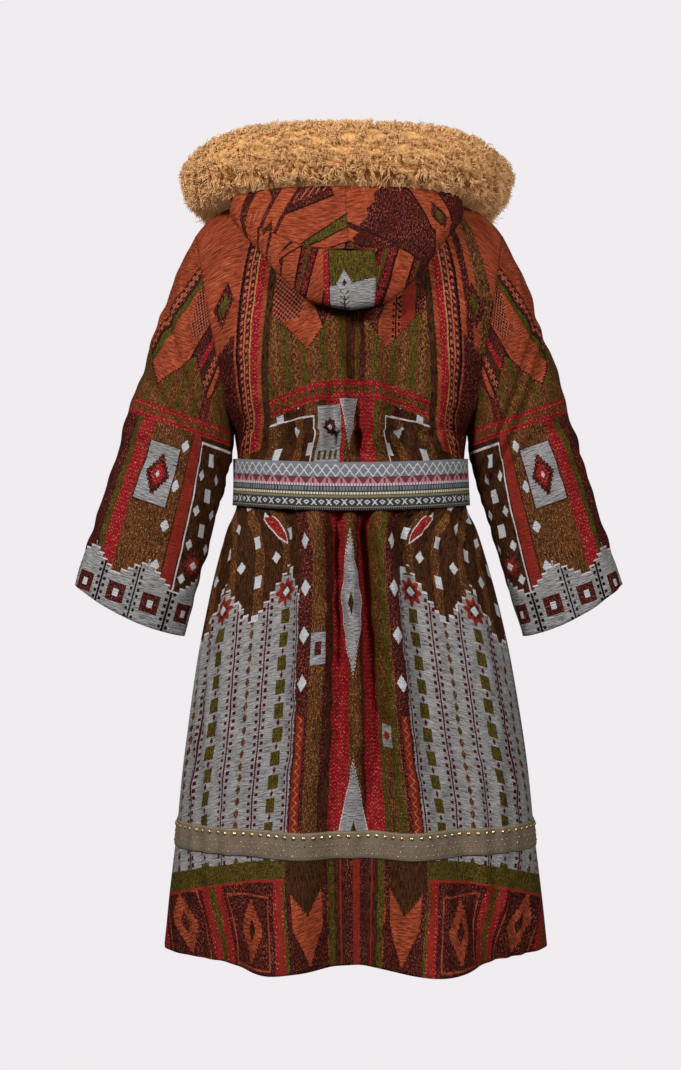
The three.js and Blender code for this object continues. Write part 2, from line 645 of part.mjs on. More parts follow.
// The hood's cloth stands up from the neckline, rolls over, hangs down as a pouch and comes up
// again outside it to the fur: share 0 is the neck seam, share 1 the fur's edge.
function hoodPoint(way, share) {
  const side = way < 0 ? -1 : 1;
  const turn = Math.abs(way) * HOOD_END;
  const value = (name) => column(HOOD, "turn", name, turn);
  const seam = neckline(turn, side);
  const radial = new THREE.Vector3(Math.sin((turn * Math.PI) / 180), -Math.cos((turn * Math.PI) / 180), 0);
  const onRadial = (reach, z) => radial.clone().multiplyScalar(reach).setZ(z);
  const seamReach = Math.hypot(seam.x, seam.y);
  const furWay = furWayAt(turn);
  const edge = furPoint(side * furWay, value("edge"), furRadius(furWay) + SEAM + 0.9);
  edge.x *= side;
  const edgeReach = Math.hypot(edge.x, edge.y);
  const [low, lowZ, slack] = [edgeReach + value("low"), value("lowZ"), value("slack")];
  const under = low - value("deep");
  const round = POUCH_ROUND * (1 - 0.55 * ease((turn - 38) / 16));
  const roll = onRadial(seamReach + 9, seam.z + 9);
  const pouch = [
    onRadial(mix(seamReach, under, 0.62), mix(seam.z, lowZ, 0.22) + 4),
    onRadial(under, mix(seam.z, lowZ, 0.62)),
    onRadial(low - round, lowZ + round / 3),
    onRadial(low + round, lowZ + round / 2),
    onRadial(mix(low, edgeReach, 0.36) + value("bulge"), mix(lowZ, edge.z, 0.36)),
  ].map((p, k) => p.lerp(roll.clone().lerp(edge, (k + 1) / 6), slack));
  const start = seam.clone().add(new THREE.Vector3(0, 0, SEAM + 0.1));
  const path = new THREE.CatmullRomCurve3([start, roll, ...pouch, edge], false, "centripetal");
  const point = clearOfCoat(path.getPoint(share), HOOD_CLEAR * ease(share / 0.14) + 0.2);
  // The crease bends down from its peak on the centre line towards the sides of the pouch.
  const crest = CREASE.peak - CREASE.fall * (Math.abs(way) / CREASE.foot) ** 2.2;
  const dent = CREASE.deep * bump((share - crest) / CREASE.spread) * ease((0.25 - Math.abs(way)) / 0.08);
  point.addScaledVector(radial, -dent);
  return new THREE.Vector3(side * point.x, point.y, point.z);
}
// Its rows, two of them close together where the gusset ends, and its columns, closer together
// where the pouch runs out on the shoulder.
const hoodRows = [
  0, 0.07, 0.143, 0.22, 0.3, 0.38, 0.45, 0.51, 0.56, 0.605, 0.65, 0.7, 0.77, 0.84, GUSSET.top - 0.002,
  GUSSET.top + 0.002, 0.92, 0.947, 0.973, 1,
];
// Where the pouch runs out the rows turn even.
function shareAt(row, way) {
  const even = hoodRows.indexOf(row) / (hoodRows.length - 1);
  return mix(row, even, ease((Math.abs(way) * HOOD_END - 30) / 36));
}
const HOOD_TURNS = [0, 9, 18, 26, 34, 42, 49, 55, 60, 65, 70, 75, 81, 89, 99, 111, 124, HOOD_END];

// A grid of the hood's points with their outward directions, by one list of ways for each row.
function hoodSheet(rows, waysOf) {
  const step = 0.015;
  const slope = (way, share, dWay, dShare) => hoodPoint(way + dWay, Math.min(1, share + dShare))
    .sub(hoodPoint(way - dWay, Math.max(0, share - dShare)));
  const grid = rows.map((row) => waysOf(row).map((way) => hoodPoint(way, shareAt(row, way))));
  const normals = rows.map((row) => waysOf(row).map((way) => {
    const share = shareAt(row, way);
    return slope(way, share, step, 0).cross(slope(way, share, 0, step)).normalize();
  }));
  return { grid, normals };
}
function hoodHalf(side) {
  return hoodSheet(hoodRows, (share) => {
    // Room for the gusset is made by the columns next to it alone.
    const from = (share < GUSSET.top ? GUSSET.half : 0) + HOOD_SEAM;
    return HOOD_TURNS.map((turn) => side * (turn / HOOD_END + from * (1 - turn / HOOD_END) ** 6));
  });
}
const hoodRight = hoodHalf(1);
const hoodLeft = hoodHalf(-1);
const gusset = hoodSheet(hoodRows.filter((share) => share < GUSSET.top), () =>
  [-1, -0.66, -0.33, 0, 0.33, 0.66, 1].map((k) => k * (GUSSET.half - HOOD_SEAM)));

/* ------------------------------------------------------------------ belt and tape */

// The belt goes once round over the cloth and laps its own end at the front.
function beltGeometry() {
  const lapTurn = BELT.lap / column(SECTIONS, "z", "halfWidth", BELT.z);
  const ring = (z) => Array.from({ length: BELT_STEPS + 1 }, (_, i) => {
    const turn = Math.PI + (i / BELT_STEPS) * (2 * Math.PI + lapTurn) - lapTurn / 2;
    const w = column(SECTIONS, "z", "halfWidth", z) + BELT.sideClear;
    const d = column(SECTIONS, "z", Math.cos(turn) > 0 ? "back" : "front", z) + BELT.clear;
    const lapped = (BELT.thick + 0.5) * ease(((i / BELT_STEPS) - 0.84) / 0.08);
    const sag = BELT.sag * Math.max(0, Math.cos(turn)) ** 2;
    const normal = new THREE.Vector3(Math.sin(turn) / w, -Math.cos(turn) / d, 0).normalize();
    return new THREE.Vector3(w * Math.sin(turn), -d * Math.cos(turn), z - sag)
      .addScaledVector(normal, BELT.thick + lapped);
  });
  const grid = [ring(BELT.z - BELT.height / 2), ring(BELT.z), ring(BELT.z + BELT.height / 2)];
  return wall(grid, normalsOf(grid, false, 1), { thick: BELT.thick });
}

// The studded tape runs round the skirt from the left front's edge, where the right one laps it,
// to the right front's edge. It is the panels' own rows at its two edges, moved out.
const lapEnd = frontPlaces.findIndex((p) => p > LAP.past);
function tapeGeometry(panels) {
  const rows = [BODY_ROWS.indexOf(TAPE.low), BODY_ROWS.indexOf(TAPE.high)];
  const lift = (by) => rows.map((j) => panels.flatMap(({ grid, normals, columns }) =>
    columns.map((i) => moved(grid[j][i], normals[j][i], by))));
  return between(lift(SEAM + TAPE.thick), lift(SEAM), false, 1);
}

/* ------------------------------------------------------------------ materials and assembly */

const finish = (colour, roughness, metalness = 0) =>
  new THREE.MeshStandardMaterial({ color: colour, roughness, metalness });
const jacquard = finish("#7a4a30", 0.75);
const greyWeave = finish("#8f9295", 0.8);
const shearling = finish("#b98a4e", 0.95);
const suede = finish("#7c6a52", 0.9);

// Every piece leans with its height, so that all of them keep their distances.
function leant(geometry) {
  const points = geometry.getAttribute("position");
  for (let i = 0; i < points.count; i += 1)
    points.setX(i, points.getX(i) + column(LEAN, "z", "x", points.getZ(i)));
  geometry.computeVertexNormals();
  return geometry;
}

const coat = new THREE.Group();
function add(name, geometry, material) {
  const mesh = new THREE.Mesh(leant(geometry), material);
  mesh.name = name;
  coat.add(mesh);
}

// The right front lies outside the left one near the centre, where the two lap.
const reversed = (grid) => grid.map((row) => [...row].reverse());
const frontOutside = reversed(
  frontRight.map((row, j) => row.map((p, i) => moved(p, frontNormals[j][i], lapOut(frontPlaces[i])))));
const frontOutsideNormals = reversed(frontNormals);
const frontLeft = mirrored(frontRight);
const frontLeftNormals = mirrored(frontNormals);

add("back", wall(back, backNormals), jacquard);
add("front_right", wall(frontOutside, frontOutsideNormals), jacquard);
add("front_left", wall(frontLeft, frontLeftNormals), jacquard);
add("sleeve_right", wall(sleeveRight, sleeveRightNormals, { closed: true, sign: -1 }), jacquard);
add("sleeve_left", wall(mirrored(sleeveLeft), mirrored(sleeveLeftNormals), { closed: true }), jacquard);
add("hood_right", wall(hoodRight.grid, hoodRight.normals), jacquard);
add("hood_left", wall(hoodLeft.grid, hoodLeft.normals, { sign: -1 }), jacquard);
add("hood_gusset", wall(gusset.grid, gusset.normals), jacquard);
add("fur_trim", furGeometry(), shearling);
add("belt", beltGeometry(), greyWeave);
const countTo = (n) => Array.from({ length: n }, (_, i) => i);
add("hem_tape", tapeGeometry([
  { grid: frontLeft, normals: frontLeftNormals, columns: countTo(frontPlaces.length).slice(lapEnd) },
  { grid: back, normals: backNormals, columns: countTo(backPlaces.length) },
  { grid: frontOutside, normals: frontOutsideNormals, columns: countTo(frontPlaces.length) },
]), suede);

export default coat;
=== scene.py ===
# %% [markdown]
# # A hooded jacquard coat, filled out as if worn
# The coat is seen from behind with nobody in it. Every cloth piece is a thin wall worked out as a
# surface of two parameters, so the folds of the solids come back here on a much finer grid, and the
# woven pattern can follow the cloth on its own UV map, measured in metres.

# %% The frame
import math

import bpy
import numpy as np
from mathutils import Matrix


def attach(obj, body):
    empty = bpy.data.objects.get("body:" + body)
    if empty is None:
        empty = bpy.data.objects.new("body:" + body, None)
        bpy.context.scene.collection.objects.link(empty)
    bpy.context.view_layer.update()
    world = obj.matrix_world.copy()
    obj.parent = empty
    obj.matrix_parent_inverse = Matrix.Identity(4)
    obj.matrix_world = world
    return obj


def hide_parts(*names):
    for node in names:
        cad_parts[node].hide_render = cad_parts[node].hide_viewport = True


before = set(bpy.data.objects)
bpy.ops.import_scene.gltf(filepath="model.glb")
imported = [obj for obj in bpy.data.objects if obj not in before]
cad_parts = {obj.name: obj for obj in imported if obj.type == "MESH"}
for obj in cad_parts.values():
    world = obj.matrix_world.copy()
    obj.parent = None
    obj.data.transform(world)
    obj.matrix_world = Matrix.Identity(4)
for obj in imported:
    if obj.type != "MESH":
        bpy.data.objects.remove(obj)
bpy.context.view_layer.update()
print("nodes:", sorted(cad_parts))

# %% [markdown]
# ## The camera
# A product photograph of a garment is taken level, from a few steps away, with a longish lens. The
# camera stands behind the coat, a little below its middle seam, and a small vertical shift frames it,
# which keeps upright lines upright where tilting the camera would not.

# %% The camera
IMAGE = (681, 1070)  # picture points across and down
POINT = 0.00136  # metres to a picture point at the side seams
DISTANCE = 2.6
EYE_HEIGHT = -0.42
FRAME_CENTRE = (-0.0197, -0.4488)

lens_data = bpy.data.cameras.new("camera")
lens_data.sensor_fit = "HORIZONTAL"
lens_data.sensor_width = 36
lens_data.lens = 36 * DISTANCE / (IMAGE[0] * POINT)
lens_data.shift_y = (FRAME_CENTRE[1] - EYE_HEIGHT) / (IMAGE[0] * POINT)
camera = bpy.data.objects.new("camera", lens_data)
camera.location = (FRAME_CENTRE[0], -DISTANCE, EYE_HEIGHT)
camera.rotation_euler = (math.pi / 2, 0, 0)
bpy.context.scene.collection.objects.link(camera)
bpy.context.scene.camera = camera
print("lens", round(lens_data.lens, 1), "mm")

# %% [markdown]
# ## Curves through short tables
# A tailor drafts a coat from a few measured levels: hem, hip, waist, chest. Each table below holds
# such levels, a row for each, and one smooth curve is drawn through every column. Cubic pieces with
# harmonic-mean slopes are used because they never swing past a measured value.

# %% Small tools
HALF_PI = math.pi / 2


def ease(t):
    """Rises smoothly from 0 to 1: three times t squared less two times t cubed."""
    t = np.clip(t, 0, 1)
    return t * t * (3 - 2 * t)


def bump(q):
    """A bell: e to the minus q squared."""
    return np.exp(-np.square(q))


def mix(a, b, t):
    """a where t is 0, b where it is 1, and a straight line between."""
    return a + (b - a) * t


def along(keys, values, at):
    """A smooth curve through a table: between two rows a cubic, whose slope at a row is the harmonic
    mean of the slopes on both sides of it, or 0 where they disagree in sign."""
    keys, values = np.asarray(keys, float), np.asarray(values, float)
    if keys[0] > keys[-1]:
        keys, values = keys[::-1], values[::-1]
    at = np.clip(at, keys[0], keys[-1])
    gap = np.diff(keys)
    slope = np.diff(values) / gap
    before, after = slope[:-1], slope[1:]
    both = np.where(before + after == 0, 1, before + after)
    inner = np.where(before * after > 0, 2 * before * after / both, 0)
    tangent = np.concatenate([slope[:1], inner, slope[-1:]])
    i = np.clip(np.searchsorted(keys, at, side="left") - 1, 0, len(keys) - 2)
    t = (at - keys[i]) / gap[i]
    return (
        (2 * t**3 - 3 * t**2 + 1) * values[i]
        + (t**3 - 2 * t**2 + t) * gap[i] * tangent[i]
        + (3 * t**2 - 2 * t**3) * values[i + 1]
        + (t**3 - t**2) * gap[i] * tangent[i + 1]
    )


class Table:
    """Rows with named columns; table(name, at) reads a column on its smooth curve."""

    def __init__(self, names, *rows):
        self.names = names.split()
        self.rows = np.array(rows, float)

    def __call__(self, name, at):
        return along(self.rows[:, 0], self.rows[:, self.names.index(name)], at)


def unit(v):
    """v at length 1."""
    return v / np.maximum(np.linalg.norm(v, axis=-1, keepdims=True), 1e-12)


def stack(x, y, z):
    """Points from their three coordinates, spread to one shape."""
    return np.stack(np.broadcast_arrays(x, y, z), axis=-1).astype(float)

# %% [markdown]
# ## Walls of cloth
# A cloth piece has an outside, an inside two millimetres further in, and raw edges between them. A
# Solidify modifier could add the inside, but at a seam two such walls would run into each other. Here
# the inside is the outside moved along directions that both neighbours of a seam share, so the
# pieces meet face to face.

# %% Turning grids of points into meshes
def facing(grid, closed=False, flip=False):
    """Outward directions of a grid: across times up, each a difference of the two neighbours."""
    if closed:
        across = np.roll(grid, -1, axis=1) - np.roll(grid, 1, axis=1)
    else:
        wide = np.concatenate([grid[:, :1], grid, grid[:, -1:]], axis=1)
        across = wide[:, 2:] - wide[:, :-2]
    tall = np.concatenate([grid[:1], grid, grid[-1:]], axis=0)
    out = unit(np.cross(across, tall[2:] - tall[:-2]))
    return -out if flip else out


def wall(name, outer, inner, uv, closed=False, flip=False):
    """A closed mesh between two grids of points that lie face to face. uv is in metres."""
    rows, cols = outer.shape[:2]
    index = np.arange(2 * rows * cols).reshape(2, rows, cols)
    if closed:
        index = np.concatenate([index, index[:, :, :1]], axis=2)
        uv = np.concatenate([uv, 2 * uv[:, -1:] - uv[:, -2:-1]], axis=1)

    def quads(a, b, c, d):
        """Faces from four arrays of corner numbers."""
        corners = np.stack([a, b, c, d], axis=-1).reshape(-1, 4)
        return corners[:, ::-1] if flip else corners

    def of_uv(a, b, c, d):
        """The map places of the same corners."""
        corners = np.stack([a, b, c, d], axis=-2).reshape(-1, 4, 2)
        return corners[:, ::-1] if flip else corners

    out, back = index
    faces = [
        quads(out[:-1, :-1], out[:-1, 1:], out[1:, 1:], out[1:, :-1]),
        quads(back[:-1, :-1], back[1:, :-1], back[1:, 1:], back[:-1, 1:]),
        quads(out[0, :-1], back[0, :-1], back[0, 1:], out[0, 1:]),
        quads(out[-1, :-1], out[-1, 1:], back[-1, 1:], back[-1, :-1]),
    ]
    maps = [
        of_uv(uv[:-1, :-1], uv[:-1, 1:], uv[1:, 1:], uv[1:, :-1]),
        of_uv(uv[:-1, :-1], uv[1:, :-1], uv[1:, 1:], uv[:-1, 1:]),
        of_uv(uv[0, :-1], uv[0, :-1], uv[0, 1:], uv[0, 1:]),
        of_uv(uv[-1, :-1], uv[-1, 1:], uv[-1, 1:], uv[-1, :-1]),
    ]
    if not closed:
        faces += [
            quads(out[:-1, 0], out[1:, 0], back[1:, 0], back[:-1, 0]),
            quads(out[:-1, -1], back[:-1, -1], back[1:, -1], out[1:, -1]),
        ]
        maps += [
            of_uv(uv[:-1, 0], uv[1:, 0], uv[1:, 0], uv[:-1, 0]),
            of_uv(uv[:-1, -1], uv[:-1, -1], uv[1:, -1], uv[1:, -1]),
        ]
    points = np.concatenate([outer.reshape(-1, 3), inner.reshape(-1, 3)])
    inside = np.concatenate([np.full(len(f), k == 1) for k, f in enumerate(faces)])
    piece = mesh_of(name, points, np.concatenate(faces), np.concatenate(maps))
    piece.data.attributes.new("inside", "BOOLEAN", "FACE").data.foreach_set("value", inside)
    return piece


def mesh_of(name, points, faces, uv=None):
    """An object from whole arrays of points and of faces with equally many corners."""
    corners = faces.shape[1]
    mesh = bpy.data.meshes.new(name)
    mesh.vertices.add(len(points))
    mesh.vertices.foreach_set("co", points.astype(np.float32).ravel())
    mesh.loops.add(faces.size)
    mesh.loops.foreach_set("vertex_index", faces.astype(np.int32).ravel())
    mesh.polygons.add(len(faces))
    mesh.polygons.foreach_set("loop_start", np.arange(0, faces.size, corners, dtype=np.int32))
    mesh.polygons.foreach_set("loop_total", np.full(len(faces), corners, dtype=np.int32))
    mesh.polygons.foreach_set("use_smooth", np.ones(len(faces), bool))
    if uv is not None:
        layer = mesh.uv_layers.new(name="UVMap")
        layer.data.foreach_set("uv", uv.astype(np.float32).ravel())
    mesh.update()
    mesh.validate()
    piece = bpy.data.objects.new(name, mesh)
    bpy.context.scene.collection.objects.link(piece)
    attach(piece, "root")
    print(f"{name}: {len(points)} points, {len(faces)} faces")
    return piece

# %% [markdown]
# ## The body
# A fitted-and-flared coat is drafted as level sections. Between the hem and the underarm each section
# is an oval whose half width and depths to the back and the front are read from the table. The
# folds that fall from the belt are added on top: each is a bell across the panel whose place, width
# and reach change with height, so that a fold can start narrow at the waist and open at the hem.

# %% Measurements of the body
WALL = 0.002
SEAM = 0.0003
HEM, UNDERARM = -1.004, -0.312
SECTIONS = Table(
    "z half_width back front",
    (HEM, 0.260, 0.150, 0.150),
    (-0.938, 0.253, 0.138, 0.142),
    (-0.862, 0.244, 0.127, 0.134),
    (-0.762, 0.234, 0.123, 0.129),
    (-0.657, 0.219, 0.121, 0.124),
    (-0.597, 0.209, 0.117, 0.121),
    (-0.525, 0.193, 0.112, 0.117),
    (-0.472, 0.179, 0.107, 0.113),
    (-0.440, 0.169, 0.103, 0.109),
    (-0.408, 0.156, 0.098, 0.104),
    (-0.345, 0.154, 0.098, 0.105),
    (UNDERARM, 0.158, 0.106, 0.115),
)
FOLD_LEVELS = [-0.150, -0.390, -0.700, -0.862, HEM]
# Each fold: places across the panel, half widths, and how far it stands out in mm, at those levels.
BACK_FOLDS = {
    "left flank": ([-0.6, -0.62, -0.6, -0.6, -0.6], [0.1, 0.08, 0.11, 0.13, 0.15], [0, 7, 6, 0, -8]),
    "left recess": (
        [-0.38, -0.345, -0.28, -0.36, -0.44], [0.07, 0.06, 0.05, 0.06, 0.08], [0, -14, -9, -4, -4],
    ),
    "left tube": ([-0.2, -0.21, -0.165, -0.21, -0.24], [0.1, 0.09, 0.09, 0.1, 0.13], [3, 15, 16, 14, 50]),
    "slit": ([-0.1, -0.085, -0.065, -0.08, -0.1], [0.04, 0.035, 0.04, 0.05, 0.05], [0, -14, -14, -8, -6]),
    "centre ridge": ([-0.05, -0.02, -0.005, 0, 0], [0.04, 0.045, 0.05, 0.05, 0.06], [0, 9, 9, 3, 0]),
    "centre pleat": ([0, 0.05, 0.075, 0.03, 0], [0.06, 0.045, 0.05, 0.09, 0.12], [-15, -22, -19, -16, -30]),
    "right tube": ([0.13, 0.15, 0.17, 0.21, 0.24], [0.08, 0.07, 0.08, 0.1, 0.145], [6, 15, 17, 18, 62]),
    "right recess": ([0.3, 0.26, 0.28, 0.38, 0.5], [0.07, 0.06, 0.06, 0.07, 0.1], [0, -14, -9, -6, -8]),
    "right flank": ([0.55, 0.56, 0.6, 0.64, 0.68], [0.1, 0.09, 0.11, 0.13, 0.15], [0, 7, 6, 0, -10]),
}
FRONT_FOLDS = {
    "inner tube": ([0.3, 0.28, 0.31, 0.34, 0.38], [0.12, 0.09, 0.1, 0.11, 0.13], [2, 12, 12, 14, 28]),
    "recess": ([0.48, 0.44, 0.48, 0.52, 0.57], [0.1, 0.07, 0.08, 0.09, 0.1], [0, -12, -9, -9, -12]),
    "outer tube": ([0.62, 0.6, 0.64, 0.69, 0.74], [0.1, 0.08, 0.1, 0.11, 0.12], [0, 10, 8, 8, 14]),
}
SLITS = (  # narrow deep folds of the back: places at those levels, half width and depth in metres
    ([-0.07, -0.080, -0.058, -0.06, -0.08], 0.030, 0.0125),
    ([0.02, 0.050, 0.075, 0.05, 0.02], 0.033, 0.0150),
    ([0.26, 0.225, 0.250, 0.30, 0.36], 0.032, 0.0095),
)
BELT_Z = -0.377
LAP_PAST, LAP_ENDS, LAP_GAP = 0.13, 0.34, 0.0008
LEAN = Table("z x", (-1.004, 0.001), (-0.700, 0), (-0.400, -0.005), (-0.040, -0.008))

# %% [markdown]
# ## Folds, gathers and slack cloth
# Cloth that is held by a belt hangs in folds of three sizes. A few large ones run from the shoulder
# blades to the hem and open out there. The belt presses a row of small pleats into the cloth. Between
# them it stays a little slack and creases across. All three are heights added to the oval along its
# outward direction, so they can be made one by one and simply summed.

# %% The body's surface
def ripples(u, v, length, height, seed, waves=7):
    """Soft unevenness: a mean of waves of about one length that run in many directions."""
    draw = np.random.default_rng(seed)
    turn, phase = draw.uniform(0, math.tau, waves), draw.uniform(0, math.tau, waves)
    pitch = length * draw.uniform(0.7, 1.4, waves)
    total = sum(
        np.sin(math.tau * (u * math.cos(a) + v * math.sin(a)) / p + f)
        for a, p, f in zip(turn, pitch, phase)
    )
    return height * total / math.sqrt(waves)


def pinched(z):
    """1 away from the belt and a tenth of it under the belt."""
    return 1 - 0.9 * np.exp(-(((z - BELT_Z) / 0.05) ** 4))


def off_lap(is_back, place):
    """1 on the back; on a front it rises from 0 beside the lap, which lies flat."""
    return 1 if is_back else ease((place - LAP_PAST) / 0.14)


def folds_at(is_back, place, z):
    """How far all the folds of a panel stand out, in metres: each bell times its reach, pinched by
    the belt, faded out on the yoke and kept off the lap of the fronts."""
    table = BACK_FOLDS if is_back else FRONT_FOLDS

    def level(values):
        """A fold's place, width or reach at this height."""
        return along(FOLD_LEVELS, values, z)

    total = sum(level(out) * bump((place - level(at)) / level(half)) for at, half, out in table.values())
    return 0.001 * total * pinched(z) * ease((-0.06 - z) / 0.11) * off_lap(is_back, place)


def gathers(is_back, place, z):
    """Small pleats that the belt presses into the cloth: uneven waves that die out above and below."""
    above = bump((z - BELT_Z - 0.062) / 0.028) * 0.6
    below = bump((z - BELT_Z + 0.072) / 0.04)
    wave = np.sin(61 * place + 1.2 * np.sin(17 * place)) + 0.6 * np.sin(37 * place + 1)
    return 0.0019 * wave * (above + below) * (1 - np.abs(place) ** 8) * off_lap(is_back, place)


def drape(is_back, place, z):
    """Soft upright folds between the large ones, deeper towards the hem, slack cloth that creases
    across above the belt, and the slits of the back."""
    w = SECTIONS("half_width", z)
    x = place * w * 1.35
    low = ease((-0.47 - z) / 0.12)
    upright = np.sin(148 * x + 9 * z + 1.5 * np.sin(31 * x)) * (0.6 + 0.4 * np.sin(9 * z + 21 * x))
    slack = ripples(0.55 * x, z + 0.25 * np.abs(x), 0.055, 1.0, 5) * bump((z + 0.285) / 0.07)
    edge = 1 - np.abs(place) ** 10
    slit = 0 * z
    if is_back:
        cut_in = sum(deep * bump((place - along(FOLD_LEVELS, at, z)) / half) for at, half, deep in SLITS)
        slit = -cut_in * bump((z - BELT_Z) / 0.34) * pinched(z)
    fine = 0.0021 * upright * low + 0.0019 * slack * ease((UNDERARM + 0.01 - z) / 0.03)
    return fine * edge * off_lap(is_back, place) + slit


def tube_point(is_back, place, z):
    """The oval section at height z, turned by place times a right angle from the middle, moved out
    along its own outward direction by the folds."""
    w, d = SECTIONS("half_width", z), SECTIONS("back" if is_back else "front", z)
    turn, side = place * HALF_PI, -1 if is_back else 1
    out = unit(stack(np.sin(turn) / w, side * np.cos(turn) / d, 0))
    rise = folds_at(is_back, place, z) + gathers(is_back, place, z) + drape(is_back, place, z)
    return stack(w * np.sin(turn), side * d * np.cos(turn), z) + out * rise[..., None]

# %% [markdown]
# ## The yoke
# Above the underarm the oval opens into two panels, each between an armhole and the neck. Level rows
# carry the cloth over the shoulder blades, and near the top each column rolls over a quarter turn to
# reach the shoulder seam or the neckline. The armhole is one fixed curve, because the sleeve has to
# fit it exactly.

# %% The yoke's surface
SHOULDER = (0.208, -0.043)
ARMHOLE_BOW = {True: -0.080, False: 0.074}
NECK_WIDTH, NECK_SHARE, NECK_SIDE = 0.080, 0.36, 0.018
NECK_REACH, NECK_DROP = {True: -0.060, False: 0.086}, {True: 0.0, False: -0.084}
ROLL_AT = 0.62
YOKES = {
    True: Table(
        "up z depth square",
        (0, UNDERARM, 0.106, 1.8),
        (0.22, -0.250, 0.114, 2.2),
        (0.44, -0.178, 0.118, 2.7),
        (ROLL_AT, -0.108, 0.113, 3),
    ),
    False: Table(
        "up z depth square",
        (0, UNDERARM, 0.115, 1.8),
        (0.22, -0.268, 0.121, 2.2),
        (0.44, -0.222, 0.122, 2.6),
        (ROLL_AT, -0.176, 0.116, 2.9),
    ),
}


def armhole(is_back, up):
    """From the underarm (0) to the shoulder point (1): half a cosine wave across and up, bowed to the
    back or the front by half a sine wave."""
    share = (1 - np.cos(math.pi * up)) / 2
    half = SECTIONS("half_width", np.array(UNDERARM))
    return stack(
        mix(half, SHOULDER[0], share),
        ARMHOLE_BOW[is_back] * np.sin(math.pi * up),
        mix(UNDERARM, SHOULDER[1], share),
    )


def top_edge(is_back, place):
    """The neckline, a quarter of an oval each side, then the shoulder seam, which drops faster and
    faster towards the shoulder point."""
    p, side = np.abs(place), np.where(place < 0, -1, 1)
    seam_y = -SEAM / 2 if is_back else SEAM / 2
    turn = np.minimum(p / NECK_SHARE, 1) * HALF_PI
    rise = np.sin(turn) ** 2 if is_back else 1 - np.abs(np.cos(turn)) ** 1.4
    neck = stack(
        side * NECK_WIDTH * np.sin(turn),
        NECK_REACH[is_back] * np.cos(turn) + seam_y * np.sin(turn),
        mix(NECK_DROP[is_back], NECK_SIDE, rise),
    )
    q = np.clip((p - NECK_SHARE) / (1 - NECK_SHARE), 0, 1)
    drop = 0.034 * q + (NECK_SIDE - SHOULDER[1] - 0.034) * q**6
    seam = stack(side * mix(NECK_WIDTH, SHOULDER[0], q), seam_y, NECK_SIDE - drop)
    return np.where((p <= NECK_SHARE)[..., None], neck, seam)


def yoke_row(is_back, place, up):
    """A level row below the roll: as wide as the armhole there, and as deep as the table says, with
    a power that squares it off more and more towards the shoulder blades."""
    table, edge, p = YOKES[is_back], armhole(is_back, up), np.abs(place)
    square = table("square", up)
    z = mix(table("z", up), edge[..., 2], p**2)
    x = edge[..., 0] * mix(np.sin(place * HALF_PI), place, ease(up / ROLL_AT) * 0.7)
    round_ = mix(np.cos(place * HALF_PI), 1 - p**square, ease(up / 0.22))
    y = np.abs(edge[..., 1]) * p**square + table("depth", up) * round_
    return stack(x, -y if is_back else y, z)


def yoke_point(is_back, place, up):
    """A row below the roll; above it, a quarter turn from the last level row to the top edge, pulled
    back to the armhole near its end."""
    place, up = np.broadcast_arrays(place, up)
    side = -1 if is_back else 1
    level = yoke_row(is_back, place, np.minimum(up, ROLL_AT))
    roll = np.clip((up - ROLL_AT) / (1 - ROLL_AT), 0, 1) * HALF_PI

    def rolled(a, b):
        """A quarter turn from a to b."""
        return stack(
            mix(a[..., 0], b[..., 0], 1 - np.cos(roll)),
            mix(b[..., 1], a[..., 1], np.cos(roll)),
            mix(a[..., 2], b[..., 2], np.sin(roll)),
        )

    point = rolled(level, top_edge(is_back, place))
    ones = np.ones_like(place, dtype=float)
    edge = armhole(is_back, up)
    edge[..., 1] += side * SEAM / 2 * ease((up - 0.8) / 0.2)
    bare = rolled(yoke_row(is_back, ones, ones * ROLL_AT), top_edge(is_back, ones))
    pull = (np.abs(place) ** 6)[..., None] * (up > ROLL_AT)[..., None]
    point += (edge - bare) * stack(np.where(place < 0, -1, 1), 1, 1) * pull
    z = point[..., 2] if is_back else np.minimum(point[..., 2], -0.060)
    calm = (1 - np.abs(place) ** 4) * ease((1 - up) / 0.25)
    point[..., 1] += side * folds_at(is_back, place, z) * calm
    return point

# %% [markdown]
# ## Cutting the panels
# Each panel is one grid from hem to shoulder. Its UV map is its flat cut in metres: across, the length
# of cloth from the centre line, counted along each row through every fold; up, the height above the
# hem. On a flared panel the weave's level lines drop towards the side seams, so the height also
# gains a little with the square of the distance from the centre.

# %% Panels
BODY_ROWS, YOKE_ROWS = 190, 84
GRAIN_DROP = 0.7
body_z = np.linspace(HEM, UNDERARM, BODY_ROWS)[:, None]
yoke_up = (np.arange(YOKE_ROWS) + 1)[:, None] / YOKE_ROWS
spread = np.linspace(-1, 1, 171)
back_places = spread * (0.62 + 0.38 * spread**2)
front_places = np.linspace(-LAP_PAST, 1, 96)


def seamed(points, place, is_back):
    """Side seams step back by half the seam's gap."""
    points[..., 1] += (-1 if is_back else 1) * SEAM / 2 * ease((np.abs(place) - 0.97) / 0.03)
    return points


def panel(is_back, places):
    """The grid of a panel with its outward directions, squared off along the side and shoulder
    seams, where two walls meet face to face."""
    low = seamed(tube_point(is_back, places[None], body_z), places, is_back)
    high = yoke_point(is_back, places[None], yoke_up)
    high = np.where(yoke_up[..., None] < 0.8, seamed(high.copy(), places, is_back), high)
    grid = np.concatenate([low, high])
    out = facing(grid, flip=not is_back)
    out[:BODY_ROWS, np.abs(places) == 1, 1] = 0
    out[-1, np.abs(places) >= NECK_SHARE, 1] = 0
    return grid, unit(out)


